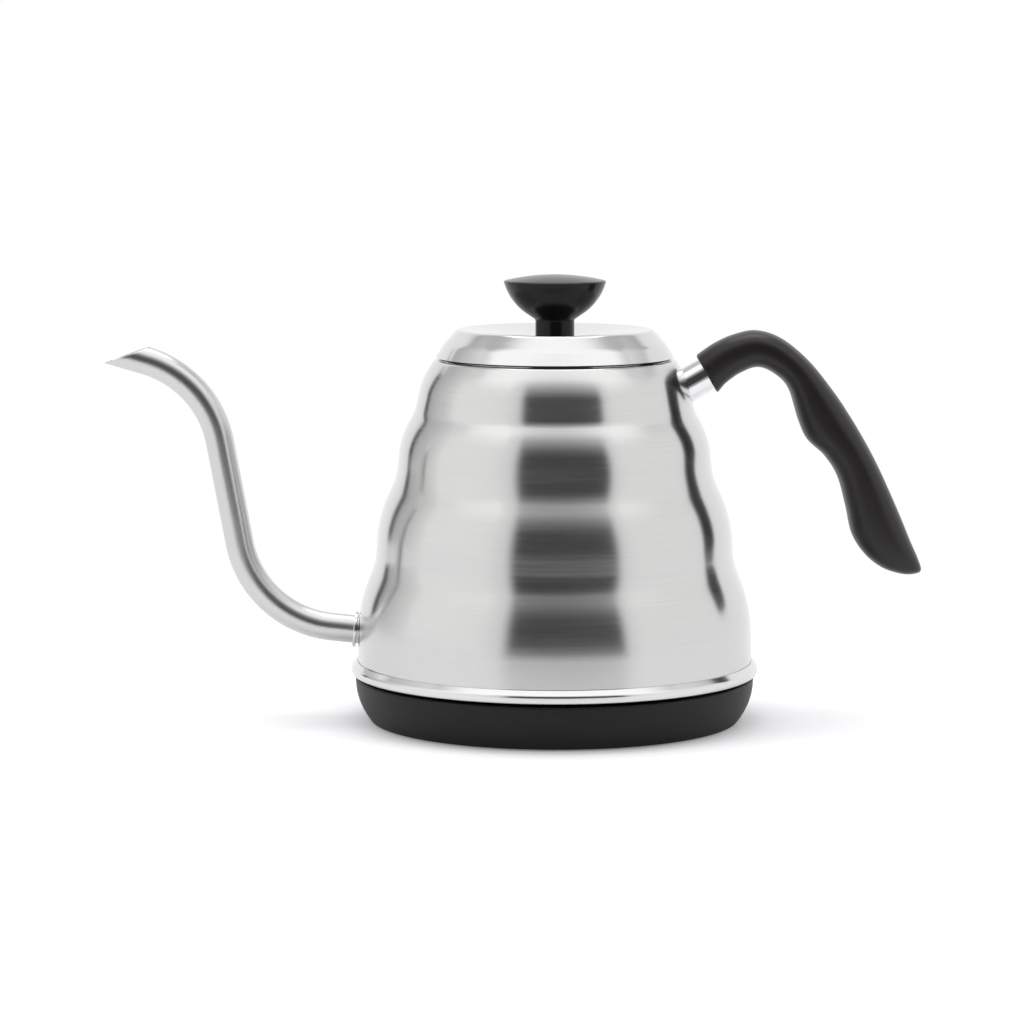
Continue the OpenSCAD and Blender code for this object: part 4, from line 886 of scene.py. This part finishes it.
# Outer edge x, z, inner edge x, z, share of the width, all from the middle of the end face
HANDLE_STATIONS = [
    (-3.7, 6.4, 3.7, -6.4, 0.72), (2.4, 10.6, 6.7, -2.9, 0.80), (9.3, 13.7, 11.4, 0.5, 0.86),
    (17.3, 15.1, 17.4, 2.6, 0.92), (26.0, 12.2, 23.1, 0.4, 0.96), (35.4, 4.4, 28.1, -4.8, 0.98),
    (43.8, -6.0, 31.6, -15.6, 1.0), (49.4, -14.3, 34.7, -22.3, 1.0),
    (54.4, -22.6, 40.6, -27.9, 1.0), (58.9, -31.0, 45.3, -35.2, 1.0),
    (62.8, -39.3, 48.2, -45.4, 1.0), (67.1, -49.0, 50.5, -55.2, 0.98),
    (70.6, -57.4, 54.9, -62.1, 0.92), (73.1, -63.0, 60.6, -66.7, 0.80),
    (74.53, -67.0, 66.4, -68.8, 0.56), (74.2, -68.6, 70.4, -69.4, 0.22)]
# How each end closes: depth in mm, and the share of the full ring there
HANDLE_END = ((0, 0), (0, 0.88), (0.12, 0.94), (0.4, 0.98))
HANDLE = {"width": 20.4, "fullness": 0.78, "steps": 8, "sides": 72,
          "tang_r": 3.55, "tang_depth": 15.3, "tang_from": -8,
          "screw_at": 4.5, "screw_z": -4.0, "head_room": 0.3, "head_bore": 20, "bore_sides": 48}
HANDLE_SCREW = {"r": 1.5, "length": 7.0, "head_r": 2.8, "head_h": 1.4, "sunk": 0.02}
HANDLE_BLACK = (0.0095, 0.0070, 0.0082, 1)
CHROME = (0.86, 0.86, 0.87, 1)


def between(rows, step, steps):
    """A smooth curve through the rows, at one of the steps from row to row."""
    row = min(step // steps, len(rows) - 2)
    share = step / steps - row
    near = [rows[min(max(number, 0), len(rows) - 1)] for number in range(row - 1, row + 3)]
    return [b + 0.5 * share * (c - a + share * (
        2 * a - 5 * b + 4 * c - d + share * (3 * (b - c) + d - a))) for a, b, c, d in zip(*near)]


def closed_end(rings):
    """Rounds the edge of an end: the first ring is drawn in and the face is closed."""
    at, side, rise = rings[0]
    inward = (rings[1][0] - at).normalized()
    return [(at + inward * depth, side * share, rise * share)
            for depth, share in HANDLE_END] + rings[1:]


face = Vector((FACE[0], 0, FACE[1]))
grip_rings = []
for step in range((len(HANDLE_STATIONS) - 1) * HANDLE["steps"] + 1):
    x0, z0, x1, z1, share = between(HANDLE_STATIONS, step, HANDLE["steps"])
    grip_rings.append((face + Vector(((x0 + x1) / 2, 0, (z0 + z1) / 2)),
                       Vector(((x0 - x1) / 2, 0, (z0 - z1) / 2)),
                       Vector((0, HANDLE["width"] / 2 * share, 0))))
grip_rings = closed_end(closed_end(grip_rings)[::-1])[::-1]
grip_plastic = moulded("Grip plastic", HANDLE_BLACK, roughness=0.38, per_mm=2.4, depth=0.22,
                       cloud=0.12, specular=0.44)
grip = skin("grip", grip_rings, HANDLE["sides"], grip_plastic, HANDLE["fullness"])

ferrule_way = Vector((math.cos(FERRULE_RISE), 0, math.sin(FERRULE_RISE)))
ferrule_over = Vector((-math.sin(FERRULE_RISE), 0, math.cos(FERRULE_RISE)))
across = ferrule_way.cross(ferrule_over)
screw_at = face + ferrule_way * HANDLE["screw_at"]
head_bore_r = HANDLE_SCREW["head_r"] + HANDLE["head_room"]
cut(grip,
    bore("tang_bore", face, ferrule_way, ferrule_over * HANDLE["tang_r"],
         across * HANDLE["tang_r"], HANDLE["tang_from"], HANDLE["tang_depth"],
         HANDLE["bore_sides"], grip_plastic),
    bore("head_bore", screw_at, ferrule_over, ferrule_way * head_bore_r, -across * head_bore_r,
         HANDLE["screw_z"] - HANDLE["head_bore"], HANDLE["screw_z"],
         HANDLE["bore_sides"], grip_plastic))
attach(grip, "kettle")
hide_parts("handle")

chrome = worked("Bright chrome", CHROME, roughness=0.05, per_mm=2.0, depth=0.02,
                line_swing=0.02, cloud_swing=0.02)
dress(chrome, "handle_ferrule")
dress(zinc, "handle_tang")

handle_screw = screw("grip_screw", HANDLE_SCREW, zinc)
placed = Vector((0, 0, 1)).rotation_difference(ferrule_over).to_matrix().to_4x4()
placed.translation = (screw_at + ferrule_over * (HANDLE["screw_z"] - HANDLE_SCREW["sunk"])) * MM
handle_screw.data.transform(placed)
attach(handle_screw, "kettle")
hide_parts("handle_screw")

# ---- Lid ----
# A shallow cap spun from the same sheet and brushed finer than the body, with a steam hole
# behind the knob. A ring welded inside it keeps it central in the mouth.

LID_CORNERS = [(40.92, 126.1), (38.0, 130.752), (33.62, 135.6), (10.7, 133.8), (2.2, 133.8)]
LID_ROUNDS = [12, 2.2, 8]
LID = {"sheet": 0.8, "sides": 240, "steps": 12}
VENT = {"r": 1.5, "y": 20.7, "low": 128, "high": 140, "sides": 32}
LID_STEEL = (0.70, 0.70, 0.695, 1)

lid_steel = worked("Brushed lid steel", LID_STEEL, roughness=0.15, per_mm=2.4, depth=0.14,
                   line_swing=0.05, cloud_swing=0.03, stretch=0.5)
lid = spun("lid_cap", sheet_of(rounded(LID_CORNERS, LID_ROUNDS, LID["steps"]), LID["sheet"]),
           LID["sides"], lid_steel)
cut(lid, bore("vent", Vector((0, VENT["y"], 0)), Vector((0, 0, 1)), Vector((VENT["r"], 0, 0)),
              Vector((0, VENT["r"], 0)), VENT["low"], VENT["high"], VENT["sides"], lid_steel))
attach(lid, "lid")
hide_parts("lid_shell")

# ---- Knob ----
# A black moulded cup on a short stem, with a softly domed top. One screw from inside the lid
# holds it, over a plain washer.

KNOB = {"r": 17.6, "stem_r": 6.7, "foot": 133.82, "cup": 138.9, "cup_h": 13.1, "dome": 2.3,
        "belly_r": 0.89, "belly_h": 0.466, "brim": 0.5, "brim_h": 0.3,
        "bore_r": 2.05, "bore_top": 145.8, "bore_tip": 1,
        "sides": 160, "steps": 12, "dome_steps": 20}
KNOB_ROUNDS = [0.9, 19, 0.25]
KNOB_SCREW = {"r": 2.0, "length": 12.3, "head_r": 3.6, "head_h": 2.4, "seat": 131.96}
KNOB_BLACK = (0.005, 0.005, 0.0052, 1)

rim_z = KNOB["cup"] + KNOB["cup_h"]
dome_r, dome_z = KNOB["r"] - KNOB["brim"], rim_z + KNOB["brim_h"]
knob_outline = [(0, KNOB["bore_top"]), (KNOB["bore_r"], KNOB["bore_top"] - KNOB["bore_tip"]),
                (KNOB["bore_r"], KNOB["foot"])]
knob_outline += rounded(
    [(KNOB["stem_r"], KNOB["foot"]), (KNOB["stem_r"], KNOB["cup"]),
     (KNOB["r"] * KNOB["belly_r"], KNOB["cup"] + KNOB["cup_h"] * KNOB["belly_h"]),
     (KNOB["r"], rim_z), (dome_r, dome_z)], KNOB_ROUNDS, KNOB["steps"])
for step in range(1, KNOB["dome_steps"] + 1):
    r = dome_r * (1 - step / KNOB["dome_steps"])
    knob_outline.append((r, dome_z + (KNOB["dome"] - KNOB["brim_h"]) * (1 - (r / dome_r) ** 2)))
knob_plastic = moulded("Knob plastic", KNOB_BLACK, roughness=0.21, per_mm=2.6, depth=0.2,
                       cloud=0.1, specular=0.25)
knob = spun("knob", knob_outline, KNOB["sides"], knob_plastic)
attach(knob, "lid")
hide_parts("lid_knob")
dress(zinc, "knob_washer")

knob_screw = screw("knob_screw_round", KNOB_SCREW, zinc)
knob_screw.data.transform(Matrix.Translation((0, 0, KNOB_SCREW["seat"] * MM)))
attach(knob_screw, "lid")
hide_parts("knob_screw")
